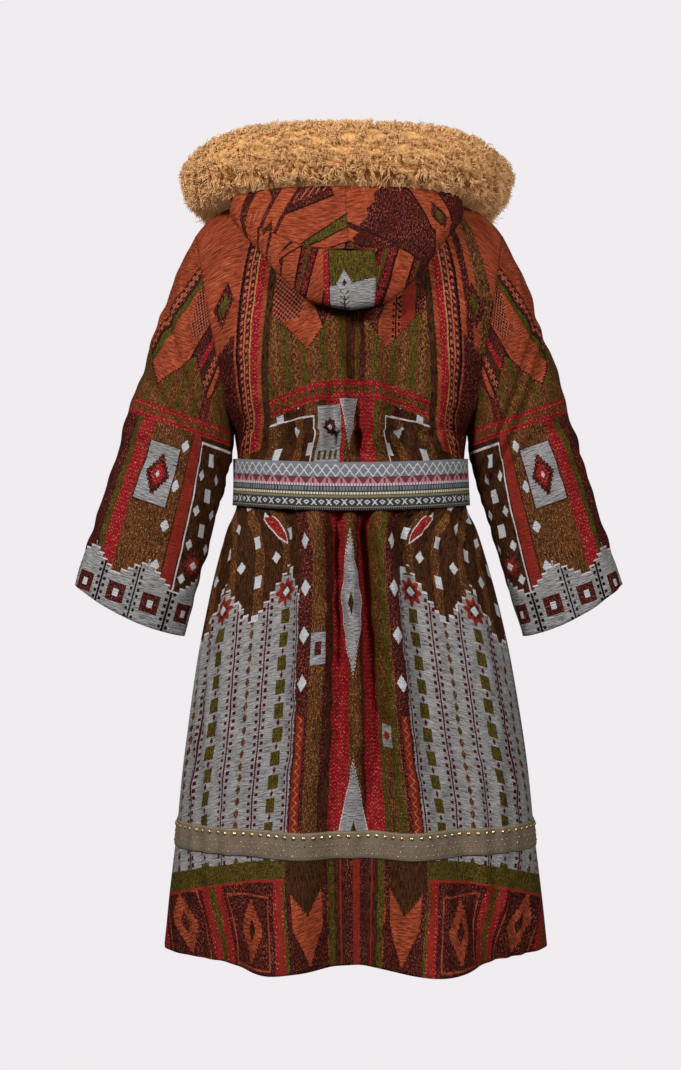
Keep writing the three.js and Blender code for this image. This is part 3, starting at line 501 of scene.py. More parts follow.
def flat_map(grid, places):
    """u: length along each row from the centre line, evened out where the belt gathers the cloth.
    v: height up the middle column from the hem, plus the grain's drop towards the sides."""
    step = np.linalg.norm(np.diff(grid, axis=1), axis=-1)
    u = np.concatenate([np.zeros((len(grid), 1)), np.cumsum(step, axis=1)], axis=1)
    middle = np.argmin(np.abs(places))
    u -= u[:, middle : middle + 1]
    ends = np.where(u < 0, np.abs(u[:, :1]), u[:, -1:]) if places[0] == -1 else u[:, -1:]
    window = np.hanning(43) / np.hanning(43).sum()
    padded = [np.pad(column, 21, mode="edge") for column in ends.T]
    even = np.stack([np.convolve(column, window, mode="valid") for column in padded], axis=-1)
    u = mix(u / ends, np.sin(places * HALF_PI), 0.5) * even
    climb = np.linalg.norm(np.diff(grid[:, middle], axis=0), axis=-1)
    v = np.concatenate([[0], np.cumsum(climb)])[:, None]
    return np.stack([u, v + GRAIN_DROP * u**2 + 0 * u], axis=-1)


back, back_out = panel(True, back_places)
front, front_out = panel(False, front_places)
back_uv, front_uv = flat_map(back, back_places), flat_map(front, front_places)
print("back is", round(float(np.ptp(back_uv[0, :, 0])), 3), "m along the hem")

# %% [markdown]
# ## The sleeves
# A sleeve is a tube whose first ring is the armhole itself. Further down its rings are ovals between
# an outer and an inner line, and they tilt because the outer line is the longer one. Where sleeve and
# body meet, both walls take the mean of their two directions, which makes a mitred seam.

# %% Sleeves
SLEEVE_ROWS = 130
SLEEVE = Table(
    "row out_x out_z in_x in_z half_depth y",
    (0, 0.208, -0.043, 0.158, -0.312, 0.078, 0),
    (1, 0.236, -0.099, 0.161, -0.338, 0.074, 0),
    (2, 0.264, -0.175, 0.168, -0.367, 0.067, 0.001),
    (3, 0.2915, -0.256, 0.177, -0.401, 0.059, 0.003),
    (4, 0.3185, -0.344, 0.190, -0.445, 0.052, 0.006),
    (5, 0.3445, -0.430, 0.208, -0.506, 0.046, 0.009),
    (6, 0.373, -0.516, 0.231, -0.587, 0.041, 0.012),
)
SWING, CUFF_DIP = 0.006, 0.009
CREASES = {  # place down the sleeve, width, height, tilt round it, and where round it they are deepest
    1: [
        (0.17, 0.011, -0.0058, 0.02, 1.8), (0.215, 0.013, -0.0066, 0.03, 1.7),
        (0.27, 0.016, -0.0045, -0.02, 1.9),
    ],
    2: [
        (0.16, 0.012, -0.0052, 0.03, 1.7), (0.235, 0.014, -0.0066, 0.01, 1.8),
        (0.30, 0.018, -0.0040, -0.03, 1.75),
    ],
}
ring_up = np.concatenate([[0], yoke_up[:, 0]])
ring = np.concatenate([armhole(True, ring_up), armhole(False, ring_up[-2:0:-1])])


def sleeve(swing, seed):
    """Ovals between the outer and the inner line; a few soft creases lie across the upper arm, and
    the cuff's edge bows down between its corners."""
    down = np.linspace(0, 6, SLEEVE_ROWS + 1)[1:, None]
    turn = np.arange(len(ring))[None] / len(ring) * math.tau
    share, rows = (1 - np.cos(turn)) / 2, down / 6
    grid = stack(
        mix(SLEEVE("in_x", down), SLEEVE("out_x", down) + swing * rows**1.5, share),
        SLEEVE("y", down) - SLEEVE("half_depth", down) * np.sin(turn),
        mix(SLEEVE("in_z", down), SLEEVE("out_z", down), share)
        - CUFF_DIP * ease((12 * rows - 8) / 4) * np.sin(turn) ** 2,
    )
    grid = np.concatenate([ring[None], grid]) + (SEAM + 0.0001, 0, 0)
    out = facing(grid, closed=True, flip=True)
    u, v = turn / math.tau * 0.4, np.linspace(0, 0.52, SLEEVE_ROWS + 1)[:, None]
    crease = sum(
        height * bump((v - at - tilt * np.cos(turn)) / wide) * ease((0.35 + np.cos(turn - aim)) / 1.2)
        for at, wide, height, tilt, aim in CREASES[seed]
    )
    soft = ripples(3 * u, v, 0.11, 0.0010, seed)
    calm = ease(v / 0.05)
    return grid + out * ((crease + soft) * calm)[..., None], out


sleeve_right, sleeve_right_out = sleeve(-SWING, 1)
sleeve_left, sleeve_left_out = sleeve(SWING, 2)

# %% [markdown]
# ## Where sleeve and body meet
# The inside of a wall lies two millimetres in from its outside. At the armhole both walls use the mean
# of their directions, like the mitre of a picture frame, so neither runs into the other. After that
# the whole coat is leant a little, and each wall is made and told which solid it stands for.

# %% Mitred armholes
up_and_down = np.concatenate([np.arange(YOKE_ROWS + 1), np.arange(YOKE_ROWS - 1, 0, -1)])
armhole_rows = BODY_ROWS - 1 + up_and_down
on_back = np.arange(len(ring)) <= YOKE_ROWS
edge_out = np.where(on_back[:, None], back_out[armhole_rows, -1], front_out[armhole_rows, -1])
mitre = sleeve_right_out[0] + edge_out
mitre[[0, YOKE_ROWS], 1] = 0
mitre = unit(mitre)
sleeve_right_out[0] = sleeve_left_out[0] = mitre
back_out[armhole_rows[on_back], -1] = mitre[on_back]
back_out[armhole_rows[on_back], 0] = mitre[on_back] * (-1, 1, 1)
on_front = ~on_back | np.isin(np.arange(len(ring)), [0, YOKE_ROWS])
front_out[armhole_rows[on_front], -1] = mitre[on_front]
print("armhole is", round(float(np.linalg.norm(np.diff(ring, axis=0), axis=1).sum()), 3), "m round")


def leant(points):
    """The whole coat hangs a little to one side, by an amount that depends on height alone."""
    moved = points.copy()
    moved[..., 0] += LEAN("x", points[..., 2])
    return moved


def cloth(name, grid, out, uv, **how):
    """A leant wall of cloth that stands for the solid of the same name."""
    piece = wall(name + "_cloth", leant(grid), leant(grid - out * WALL), uv, **how)
    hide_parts(name)
    return piece


def mirrored(points):
    """The same points on the other side of the centre line."""
    return points * (-1, 1, 1)


SLEEVE_RUN = np.array([0.33, 0, -0.944])
TAPE_Z = -0.85


def sleeve_map(grid):
    """u: length round each ring from the line that faces back; v: how far down the sleeve's own
    direction a point lies from the shoulder, counted negative."""
    step = np.linalg.norm(grid - np.roll(grid, 1, axis=1), axis=-1)
    u = np.cumsum(step, axis=1) - step[:, :1]
    quarter = len(ring) // 4
    u = u - u[:, quarter : quarter + 1]
    return np.stack([u, -(grid - (SHOULDER[0], 0, SHOULDER[1])) @ SLEEVE_RUN], axis=-1)


def crumpled(grid, out, uv, seed, height, closed=False):
    """Slack cloth: soft waves along its own outward direction, calm at the edges, where it is sewn,
    and under the tape."""
    rows, cols = grid.shape[:2]
    row, col = np.arange(rows)[:, None], np.arange(cols)[None]
    inset = np.minimum(row, rows - 1 - row) + 0 * col
    if not closed:
        inset = np.minimum(inset, np.minimum(col, cols - 1 - col))
    under_tape = np.exp(-(((grid[..., 2] - TAPE_Z) / 0.035) ** 4))
    under_belt = np.exp(-(((grid[..., 2] - BELT_Z) / 0.045) ** 4)) * (not closed)
    calm = ease((inset - 2) / 12) * (1 - under_tape) * (1 - under_belt)
    return grid + out * (ripples(uv[..., 0], uv[..., 1], 0.034, height, seed, 9) * calm)[..., None]


sleeve_right = crumpled(sleeve_right, sleeve_right_out, sleeve_map(sleeve_right), 21, 0.0008, True)
sleeve_left = crumpled(sleeve_left, sleeve_left_out, sleeve_map(sleeve_left), 22, 0.0008, True)
lap_out = (WALL + LAP_GAP) * ease((LAP_ENDS - front_places) / (LAP_ENDS - LAP_PAST))
front_over = (front + front_out * lap_out[None, :, None])[:, ::-1]
front_over_out = front_out[:, ::-1]
pieces = {
    "back": cloth("back", crumpled(back, back_out, back_uv, 20, 0.0012), back_out, back_uv),
    "front_right": cloth("front_right", front_over, front_over_out, front_uv[:, ::-1]),
    "front_left": cloth("front_left", mirrored(front), mirrored(front_out), front_uv),
    "sleeve_right": cloth("sleeve_right", sleeve_right, sleeve_right_out, sleeve_map(sleeve_right),
                          closed=True, flip=True),
    "sleeve_left": cloth("sleeve_left", mirrored(sleeve_left), mirrored(sleeve_left_out),
                         sleeve_map(sleeve_left), closed=True),
}

# %% [markdown]
# ## The hood and the fur roll
# A hood that is not worn lies behind the neck as a pouch, and its fur edge rolls over on itself round
# the shoulders. The roll is a tube along a smooth line that rests on the coat. The hood's cloth rises
# from the neck seam, rolls over, hangs down against the back, turns up again at the bottom of the
# pouch and ends under the fur.

# %% Measurements of the fur and the hood
FUR = Table(
    "row x y z radius",
    (0, 0, -0.114, 0.050, 0.046),
    (1, 0.068, -0.112, 0.049, 0.046),
    (2, 0.130, -0.096, 0.045, 0.045),
    (3, 0.172, -0.058, 0.036, 0.042),
    (4, 0.185, -0.004, 0.022, 0.040),
    (5, 0.172, 0.050, 0.006, 0.038),
    (6, 0.136, 0.092, -0.024, 0.035),
    (7, 0.090, 0.119, -0.064, 0.031),
    (8, 0.044, 0.128, -0.100, 0.026),
)
FUR_ROWS = 8  # the last row of that table
FUR_SHIFT, FUR_END, FUR_LIFT = -0.006, 0.020, 0.0015
HOOD = Table(
    "turn edge low low_z deep bulge slack",
    (0, -1.3, 0.011, -0.159, 0.017, 0.022, 0),
    (20, -1.3, 0.009, -0.149, 0.017, 0.021, 0),
    (31, -1.3, 0.009, -0.125, 0.017, 0.019, 0),
    (44, -1.35, 0.009, -0.083, 0.016, 0.016, 0.03),
    (56, -1.4, 0.008, -0.050, 0.014, 0.010, 0.12),
    (66, -1.7, 0.005, -0.028, 0.012, 0.003, 0.4),
    (77, -2.2, 0.001, -0.006, 0.008, 0.002, 0.8),
    (90, -2.85, 0, 0.004, 0.006, 0, 1),
    (138, -3.7, 0, -0.080, 0.006, 0, 1),
)
HOOD_END, POUCH_ROUND, HOOD_CLEAR, HOOD_SEAM = 138, 0.009, 0.0032, 0.0004
GUSSET_HALF, GUSSET_TOP = 0.09, 0.885
CREASE = {"peak": 0.945, "fall": 0.2, "foot": 0.2, "spread": 0.03, "deep": 0.005}

# %% [markdown]
# ## Cloth that lies on cloth
# The hood rests on the back and the shoulders and must not sink into them. The nearest sample points
# of the coat tell how far out the coat's own surface is near a point, and any point of the hood that
# comes nearer than a small clearance is moved out to it.

# %% Resting on the coat
rows_near = slice(BODY_ROWS - 50, None, 8)
coat_points = np.concatenate([g[rows_near, ::4].reshape(-1, 3) for g in (back, front)])
coat_out = np.concatenate([g[rows_near, ::4].reshape(-1, 3) for g in (back_out, front_out)])


def clear_of_coat(points, clear):
    """Moves points out until they are clear of the coat, judged by the mean height over its nine
    nearest sample points, the nearer ones counting more."""
    flat = points.reshape(-1, 3)
    clear = np.broadcast_to(clear, points.shape[:-1]).reshape(-1)
    far = (flat**2).sum(1)[:, None] + (coat_points**2).sum(1)[None] - 2 * flat @ coat_points.T
    near = np.argpartition(far, 9, axis=1)[:, :9]
    weight = 1 / (np.take_along_axis(far, near, axis=1) + 4e-6)
    weight /= weight.sum(1, keepdims=True)
    out = unit((coat_out[near] * weight[..., None]).sum(1))
    over = ((flat[:, None] - coat_points[near]) * coat_out[near]).sum(-1)
    height = (over * weight).sum(1)
    lift = np.maximum(clear - height, 0)
    return (flat + out * lift[:, None]).reshape(points.shape)


def fur_radius(way):
    """How thick the roll is, at a place from -1 to 1 along it."""
    return FUR("radius", np.abs(way) * FUR_ROWS)


def fur_even(way):
    """The roll's centre line as it would rest with the coat hanging even; way runs 0 to 1."""
    at = np.abs(way) * FUR_ROWS
    return clear_of_coat(stack(FUR("x", at), FUR("y", at), FUR("z", at)), fur_radius(way) + FUR_LIFT)


def fur_centre(way):
    """The centre line from -1 at the left throat to 1 at the right one, slipped to the left."""
    centre = fur_even(way)
    centre[..., 0] = np.sign(way) * centre[..., 0] + FUR_SHIFT * (1 - ease(np.abs(way)))
    return centre


def fur_frame(way):
    """Tangent, a level outward direction, and the direction that leans up between them."""
    tangent = unit(fur_centre(np.minimum(1, way + 0.01)) - fur_centre(np.maximum(-1, way - 0.01)))
    out = unit(stack(tangent[..., 1], -tangent[..., 0], 0))
    up = -unit(np.cross(out, tangent))
    return tangent, out, np.where(up[..., 2:] < 0, -up, up)


def fur_point(way, angle, radius):
    """A point on the roll's round section."""
    _, out, up = fur_frame(way)
    return (
        fur_centre(way)
        + out * (radius * np.cos(angle))[..., None]
        + up * (radius * np.sin(angle))[..., None]
    )

# %% [markdown]
# ## The pouch of the hood
# A hood that hangs down folds into a pouch. Each column of its surface starts at the neck seam, runs
# down the back, turns round at the bottom and comes up again to the fur. A smooth curve through eight
# points gives it that course, and short tables say how low, how deep and how slack it is all round.

# %% The hood's surface
def neckline(turn, side):
    """The neck seam, turned about the neck from the middle of the back."""
    is_back = turn <= 90
    place = np.where(is_back, turn, 180 - turn) / 90 * NECK_SHARE
    edge = np.where(is_back[..., None], top_edge(True, place), top_edge(False, place))
    lapped = (WALL + LAP_GAP) * ease((LAP_ENDS - place) / (LAP_ENDS - LAP_PAST))
    edge[..., 2] += np.where((side > 0) & ~is_back, lapped, 0)
    return edge


fur_ways = np.linspace(0, 1, 401)
fur_line = fur_even(fur_ways)
fur_turns = np.degrees(np.arctan2(fur_line[:, 0], -fur_line[:, 1]))


def through(points, share):
    """A centripetal Catmull-Rom curve through points (axis -2), read at share from 0 to 1. Its
    tangents weigh the neighbouring chords by the square root of their lengths."""
    count = points.shape[-2]
    at = share * (count - 1)
    i = np.minimum(at.astype(int), count - 2)
    t = (at - i)[..., None]
    before = 2 * points[..., :1, :] - points[..., 1:2, :]
    after = 2 * points[..., -1:, :] - points[..., -2:-1, :]
    padded = np.concatenate([before, points, after], axis=-2)
    p0, p1, p2, p3 = (
        np.take_along_axis(padded, (i + k)[..., None, None], axis=-2)[..., 0, :] for k in range(4)
    )
    d0, d1, d2 = (
        np.sqrt(np.linalg.norm(b - a, axis=-1, keepdims=True)) for a, b in ((p0, p1), (p1, p2), (p2, p3))
    )
    d1 = np.where(d1 < 1e-4, 1, d1)
    d0, d2 = np.where(d0 < 1e-4, d1, d0), np.where(d2 < 1e-4, d1, d2)
    t1 = ((p1 - p0) / d0 - (p2 - p0) / (d0 + d1) + (p2 - p1) / d1) * d1
    t2 = ((p2 - p1) / d1 - (p3 - p1) / (d1 + d2) + (p3 - p2) / d2) * d1
    return p1 + t * (t1 + t * (-3 * p1 + 3 * p2 - 2 * t1 - t2 + t * (2 * p1 - 2 * p2 + t1 + t2)))


def hood_point(way, share):
    """From the neck seam (share 0) up, over, down the pouch and out again to the fur's edge
    (share 1), on a smooth curve through eight places; the sagging tip pulls an arched crease in."""
    way, share = np.broadcast_arrays(way, share)
    side, turn = np.where(way < 0, -1, 1), np.abs(way) * HOOD_END
    seam = neckline(turn, side)
    angle = np.radians(turn)
    radial = stack(np.sin(angle), -np.cos(angle), 0)

    def on_radial(reach, z):
        """A point straight out from the neck."""
        point = radial * reach[..., None]
        point[..., 2] = z
        return point

    seam_reach = np.hypot(seam[..., 0], seam[..., 1])
    fur_way = np.interp(turn, fur_turns, fur_ways)
    edge = fur_point(side * fur_way, HOOD("edge", turn), fur_radius(fur_way) + SEAM + 0.0009)
    edge[..., 0] *= side
    edge_reach = np.hypot(edge[..., 0], edge[..., 1])
    low, low_z, slack = edge_reach + HOOD("low", turn), HOOD("low_z", turn), HOOD("slack", turn)
    under = low - HOOD("deep", turn)
    round_ = POUCH_ROUND * (1 - 0.55 * ease((turn - 38) / 16))
    roll = on_radial(seam_reach + 0.009, seam[..., 2] + 0.009)
    pouch = [
        on_radial(mix(seam_reach, under, 0.62), mix(seam[..., 2], low_z, 0.22) + 0.004),
        on_radial(under, mix(seam[..., 2], low_z, 0.62)),
        on_radial(low - round_, low_z + round_ / 3),
        on_radial(low + round_, low_z + round_ / 2),
        on_radial(mix(low, edge_reach, 0.36) + HOOD("bulge", turn), mix(low_z, edge[..., 2], 0.36)),
    ]
    pouch = [mix(p, mix(roll, edge, (k + 1) / 6), slack[..., None]) for k, p in enumerate(pouch)]
    start = seam + (0, 0, SEAM + 0.0001)
    point = through(np.stack([start, roll, *pouch, edge], axis=-2), share)
    point = clear_of_coat(point, HOOD_CLEAR * ease(share / 0.14) + 0.0002)
    crest = CREASE["peak"] - CREASE["fall"] * (np.abs(way) / CREASE["foot"]) ** 2.2
    dent = CREASE["deep"] * bump((share - crest) / CREASE["spread"]) * ease((0.25 - np.abs(way)) / 0.08)
    point -= radial * dent[..., None]
    point[..., 0] *= side
    return point


def hood_sheet(ways, shares):
    """Points of the hood with their outward directions, from steps both ways along the surface."""
    step = 0.015
    across = hood_point(ways + step, shares) - hood_point(ways - step, shares)
    up = hood_point(ways, np.minimum(1, shares + step)) - hood_point(ways, np.maximum(0, shares - step))
    return hood_point(ways, shares), unit(np.cross(across, up))


HOOD_ROWS, HOOD_COLS = 110, 84
hood_rows = np.concatenate([
    np.linspace(0, GUSSET_TOP - 0.002, 92), np.linspace(GUSSET_TOP + 0.002, 1, HOOD_ROWS - 92)])[:, None]
hood_turns = np.linspace(0, 1, HOOD_COLS)[None] ** 1.15


def share_at(row, way):
    """Where the pouch runs out on the shoulder the rows turn even."""
    even = np.linspace(0, 1, len(row))[:, None]
    return mix(row, even, ease((np.abs(way) * HOOD_END - 30) / 36))


def hood_map(grid, middle):
    """u: length along each row from the centre, v: length on each column from the fur's edge back
    towards the neck seam."""
    step = np.linalg.norm(np.diff(grid, axis=1, prepend=grid[:, :1]), axis=-1)
    u = np.cumsum(step, axis=1) + np.abs(grid[:, :1, 0] - middle)
    v = np.cumsum(np.linalg.norm(np.diff(grid, axis=0, prepend=grid[:1]), axis=-1), axis=0)
    return np.stack([u, v[-1:] - v], axis=-1)


for name, side in (("hood_right", 1), ("hood_left", -1)):
    start = np.where(hood_rows < GUSSET_TOP, GUSSET_HALF, 0) + HOOD_SEAM
    ways = side * (hood_turns + start * (1 - hood_turns) ** 6)
    grid, out = hood_sheet(ways, share_at(hood_rows, ways))
    pieces[name] = cloth(name, grid, out, hood_map(grid, 0) * (side, 1), flip=side < 0)

gusset_rows = hood_rows[hood_rows[:, 0] < GUSSET_TOP]
gusset_ways = np.linspace(-1, 1, 26)[None] * (GUSSET_HALF - HOOD_SEAM)
grid, out = hood_sheet(gusset_ways, gusset_rows + 0 * gusset_ways)
gusset_uv = hood_map(grid, 0)
gusset_uv[..., 0] -= gusset_uv[..., -1:, 0] / 2
pieces["hood_gusset"] = cloth("hood_gusset", grid, out, gusset_uv)
print("gusset is", round(float(np.ptp(gusset_uv[..., 0], axis=1).max()), 3), "m wide")

# %% [markdown]
# ## The curly shearling
# Lambskin curls into small locks that stand off the hide in every direction. A hair system could
# grow them, but here each lock is a tapering corkscrew worked out with the rest: a point on the
# hide, a direction, a turn rate and a length, with neighbours sharing most of their lean so that they
# clump as real wool does. Under them lies a plain dark roll for the hide.

# %% The hide
HIDE_DEPTH = 0.0108
CAP_RINGS = 6


def closed_tube(name, way, angle, radius, ends):
    """A round section carried along the roll, with half-round ends."""
    ways, angles, radii = np.broadcast_arrays(way[:, None], angle[None], radius[:, None])
    rings = fur_point(ways, angles, radii)
    turn = np.linspace(0, HALF_PI, CAP_RINGS + 1)[1:]
    tangent, _, _ = fur_frame(np.array([-1.0, 1.0]))
    caps = [
        fur_point(*np.broadcast_arrays(w, angle[None], r * np.cos(turn)[:, None]))
        + s * t * (ends * np.sin(turn))[:, None, None]
        for w, s, t, r in ((-1.0, -1, tangent[0], radius[0]), (1.0, 1, tangent[1], radius[-1]))
    ]
    grid = leant(np.concatenate([caps[0][::-1], rings, caps[1]]))
    rows, cols = grid.shape[:2]
    index = np.arange(rows * cols).reshape(rows, cols)
    index = np.concatenate([index, index[:, :1]], axis=1)
    faces = np.stack([index[:-1, :-1], index[1:, :-1], index[1:, 1:], index[:-1, 1:]], axis=-1)
    return mesh_of(name, grid.reshape(-1, 3), faces.reshape(-1, 4))


ways_along = np.linspace(-1, 1, 180)
hide = closed_tube("fur_hide", ways_along, np.linspace(0, math.tau, 40, endpoint=False),
                   fur_radius(ways_along) - HIDE_DEPTH, FUR_END - HIDE_DEPTH)
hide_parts("fur_trim")

# %% [markdown]
# ## Strands that curl together
# A lock is a thin three-sided strand. Its middle line leaves the hide, leans over with its neighbours
# and winds round itself like a corkscrew. All strands are worked out together as one array of shape
# strands, steps and corners, which is what makes forty thousand of them quick to build.

# %% The locks
LOCKS, STEPS, SIDES = 41000, 5, 3
TUFT = 4  # strands that curl together
LOCK_LENGTH, LOCK_THICK, CURL_RADIUS = 0.0090, 0.00074, 0.0016
ALONG = np.linspace(0, 1, STEPS)[None, :, None]  # share of the way from root to tip


def corkscrews(base, radial, lean, tangent, length, spin, phase, curl):
    """Lines of strands: out along radial by s - s squared / 5, over along lean by s to the power
    1.5, and round that course on a circle that widens to the curl's radius."""
    run_out = radial[:, None] * (ALONG - 0.2 * ALONG**2) + lean[:, None] * ALONG**1.5 * 0.85
    line = base[:, None] + run_out * length[:, None, None]
    a = unit(tangent - radial * (tangent * radial).sum(-1, keepdims=True))[:, None]
    b = np.cross(radial, a[:, 0])[:, None]
    turn = math.tau * spin[:, None, None] * ALONG + phase[:, None, None]
    reach = curl[:, None, None] * (0.3 + 1.1 * ALONG - 0.5 * ALONG**2)
    return line + reach * (a * np.cos(turn) + b * np.sin(turn))


def tubes(line, radial, thick):
    """Rings of three corners square to each line, thinning by 0.6 times s squared to the tip."""
    run = unit(np.gradient(line, axis=1))
    side_a = unit(np.cross(run, radial[:, None] + 0.01))
    side_b = np.cross(run, side_a)
    corner = (np.arange(SIDES) / SIDES * math.tau)[:, None]
    across = side_a[:, :, None] * np.cos(corner) + side_b[:, :, None] * np.sin(corner)
    taper = thick[:, None, None] * (1 - 0.6 * ALONG**2)
    return line[:, :, None] + taper[:, :, None] * across


def corners(grid):
    """The four corners of every face, from numbers or values given on strands, rings and sides."""
    around = [grid[:, :-1, :-1], grid[:, :-1, 1:], grid[:, 1:, 1:], grid[:, 1:, :-1]]
    return np.stack(around, axis=-1).reshape(-1, 4)


def locks(count, seed, low, high):
    """Strands between two places along the roll: their points, faces and map. The strands of a tuft
    start a little apart and keep nearly the same lean, turn and length. The map holds a tint for
    each strand and the height along it."""
    draw = np.random.default_rng(seed)

    def shared(make):
        """One random value for each tuft, given to all its strands."""
        return np.repeat(make(count // TUFT), TUFT, axis=0)

    way = shared(lambda n: draw.uniform(low, high, n)) + draw.normal(0, 0.0018, count)
    way = np.clip(way, -1, 1)
    angle = shared(lambda n: draw.uniform(0, math.tau, n)) + draw.normal(0, 0.035, count)
    tangent, out, up = fur_frame(way)
    radial = out * np.cos(angle)[:, None] + up * np.sin(angle)[:, None]
    round_ = -out * np.sin(angle)[:, None] + up * np.cos(angle)[:, None]
    near_end = np.maximum(np.abs(way) - 0.965, 0) / 0.035
    beyond = tangent * (np.sign(way) * near_end)[:, None]
    radial = unit(radial + beyond * 1.3)
    base = fur_point(way, angle, fur_radius(way) - HIDE_DEPTH - 0.001) + beyond * 0.006
    along_roll, about = way * 4.2, angle * 0.42
    clump_a = ripples(along_roll, about, 0.30, 1.0, 31) + ripples(along_roll, about, 0.13, 0.7, 32)
    clump_b = ripples(along_roll, about, 0.28, 1.0, 33) + ripples(along_roll, about, 0.12, 0.7, 34)
    lean_a = 0.32 * clump_a + shared(lambda n: draw.normal(0, 0.26, n)) + draw.normal(0, 0.14, count)
    lean_b = 0.32 * clump_b + shared(lambda n: draw.normal(0, 0.26, n)) + draw.normal(0, 0.14, count)
    lean = tangent * lean_a[:, None] + round_ * lean_b[:, None]
    length = LOCK_LENGTH * (1 + 0.12 * ripples(along_roll, about, 0.22, 1.0, 35))
    length *= shared(lambda n: draw.uniform(0.8, 1.25, n)) * draw.uniform(0.85, 1.1, count)
    length *= 1 + 0.8 * ease((-np.sin(angle) - 0.35) / 0.6)
    spin = shared(lambda n: draw.uniform(0.9, 1.6, n) * np.where(draw.random(n) < 0.5, -1, 1))
    phase = shared(lambda n: draw.uniform(0, math.tau, n)) + draw.normal(0, 0.35, count)
    curl = shared(lambda n: CURL_RADIUS * draw.uniform(0.6, 1.3, n))
    line = corkscrews(base, radial, lean, tangent, length, spin, phase, curl)
    rings = tubes(line, radial, LOCK_THICK * draw.uniform(0.7, 1.2, count))
    tint = mix(shared(lambda n: draw.random(n)), draw.random(count), 0.35)
    tint = np.clip(mix(tint, 0.5 + 0.22 * clump_a, 0.4), 0, 1)
    index = np.arange(count * STEPS * SIDES).reshape(count, STEPS, SIDES)
    index = np.concatenate([index, index[:, :, :1]], axis=2)
    height = (np.arange(STEPS) / (STEPS - 1))[None, :, None] + np.zeros((count, STEPS, SIDES + 1))
    u = np.repeat(tint, (STEPS - 1) * SIDES)[:, None] + np.zeros(4)
    return leant(rings.reshape(-1, 3)), corners(index), np.stack([u, corners(height)], axis=-1)


SPANS = 5
for k in range(SPANS):
    low, high = mix(-1, 1, k / SPANS), mix(-1, 1, (k + 1) / SPANS)
    points, faces, uv = locks(LOCKS // SPANS, 50 + k, low, high)
    pieces[f"fur_curls_{k}"] = mesh_of(f"fur_curls_{k}", points, faces, uv)

# %% [markdown]
# ## The belt
# A woven belt is a firm band, so it is an even wall round the waist that laps its own end in front.
# The body's own weight lets it sag a little behind. Its UV map runs once round in metres and from 0
# to 1 across its face, so that every woven stripe can be placed by its share of the height.

# %% The belt
BELT_HEIGHT, BELT_THICK, BELT_LAP = 0.063, 0.0018, 0.060
BELT_CLEAR, BELT_SIDE, BELT_SAG = 0.0076, 0.0035, 0.007
BELT_STEPS, BELT_ROWS = 420, 13


def belt_grid():
    """An oval a little larger than the waist at each height, once round and past its own start."""
    lap_turn = BELT_LAP / SECTIONS("half_width", np.array(BELT_Z))
    i = np.linspace(0, 1, BELT_STEPS + 1)[None]
    turn = math.pi + i * (math.tau + lap_turn) - lap_turn / 2
    z = np.linspace(BELT_Z - BELT_HEIGHT / 2, BELT_Z + BELT_HEIGHT / 2, BELT_ROWS)[:, None]
    w = SECTIONS("half_width", z) + BELT_SIDE
    d = np.where(np.cos(turn) > 0, SECTIONS("back", z), SECTIONS("front", z)) + BELT_CLEAR
    out = unit(stack(np.sin(turn) / w, -np.cos(turn) / d, 0))
    sag = BELT_SAG * np.maximum(0, np.cos(turn)) ** 2
    rise = BELT_THICK + (BELT_THICK + 0.0005) * ease((i - 0.84) / 0.08)
    share = (z - z[0]) / BELT_HEIGHT
    soft = 0.0006 * np.sin(turn * 9 + 3 * share) * share + 0.0004 * np.sin(turn * 23)
    grid = stack(w * np.sin(turn), -d * np.cos(turn), z - sag) + out * (rise + soft)[..., None]
    line = grid[BELT_ROWS // 2]
    round_ = np.cumsum(np.linalg.norm(np.diff(line, axis=0, prepend=line[:1]), axis=-1))
    uv = np.stack([round_[None] + 0 * z, share + 0 * i], axis=-1)
    return grid, out + 0 * grid, uv


grid, out, uv = belt_grid()
pieces["belt"] = wall("belt_band", leant(grid), leant(grid - out * BELT_THICK), uv)
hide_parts("belt")

# %% [markdown]
# ## The studded tape
# The tape is sewn flat on the skirt, so it is the panels' own surface between two heights, moved out.
# One grid reads the left front, the back and the right front in turn.

# %% The tape
TAPE_LOW, TAPE_HIGH, TAPE_THICK = -0.868, -0.832, 0.0016
TAPE_ROWS = 11


def skirt_band(heights, extra):
    """The skirt's outside at given heights, from the left front's lap round the back to the right
    front's edge, moved out by extra."""
    z = heights[:, None]
    left = front_places[front_places > LAP_PAST + 0.008]
    runs = []
    right = front_places[::-1]
    for is_back, places, flip in ((False, left, -1), (True, back_places, 1), (False, right, 1)):
        points = seamed(tube_point(is_back, places[None], z), places, is_back)
        wide = np.concatenate([points[:, :1], points, points[:, -1:]], axis=1)
        above, below = (tube_point(is_back, places[None], z + step) for step in (0.004, -0.004))
        out = unit(np.cross(wide[:, 2:] - wide[:, :-2], above - below))
        out = out if is_back or flip > 0 else -out
        out[:, np.abs(places) == 1, 1] = 0
        out = unit(out)
        if not is_back and flip > 0:
            over = (WALL + LAP_GAP) * ease((LAP_ENDS - places) / (LAP_ENDS - LAP_PAST))
            points = points + out * over[None, :, None]
        runs.append((mirrored(points), mirrored(out)) if flip < 0 else (points, out))
    grid = np.concatenate([r[0] for r in runs], axis=1)
    out = np.concatenate([r[1] for r in runs], axis=1)
    return grid + out * extra, out


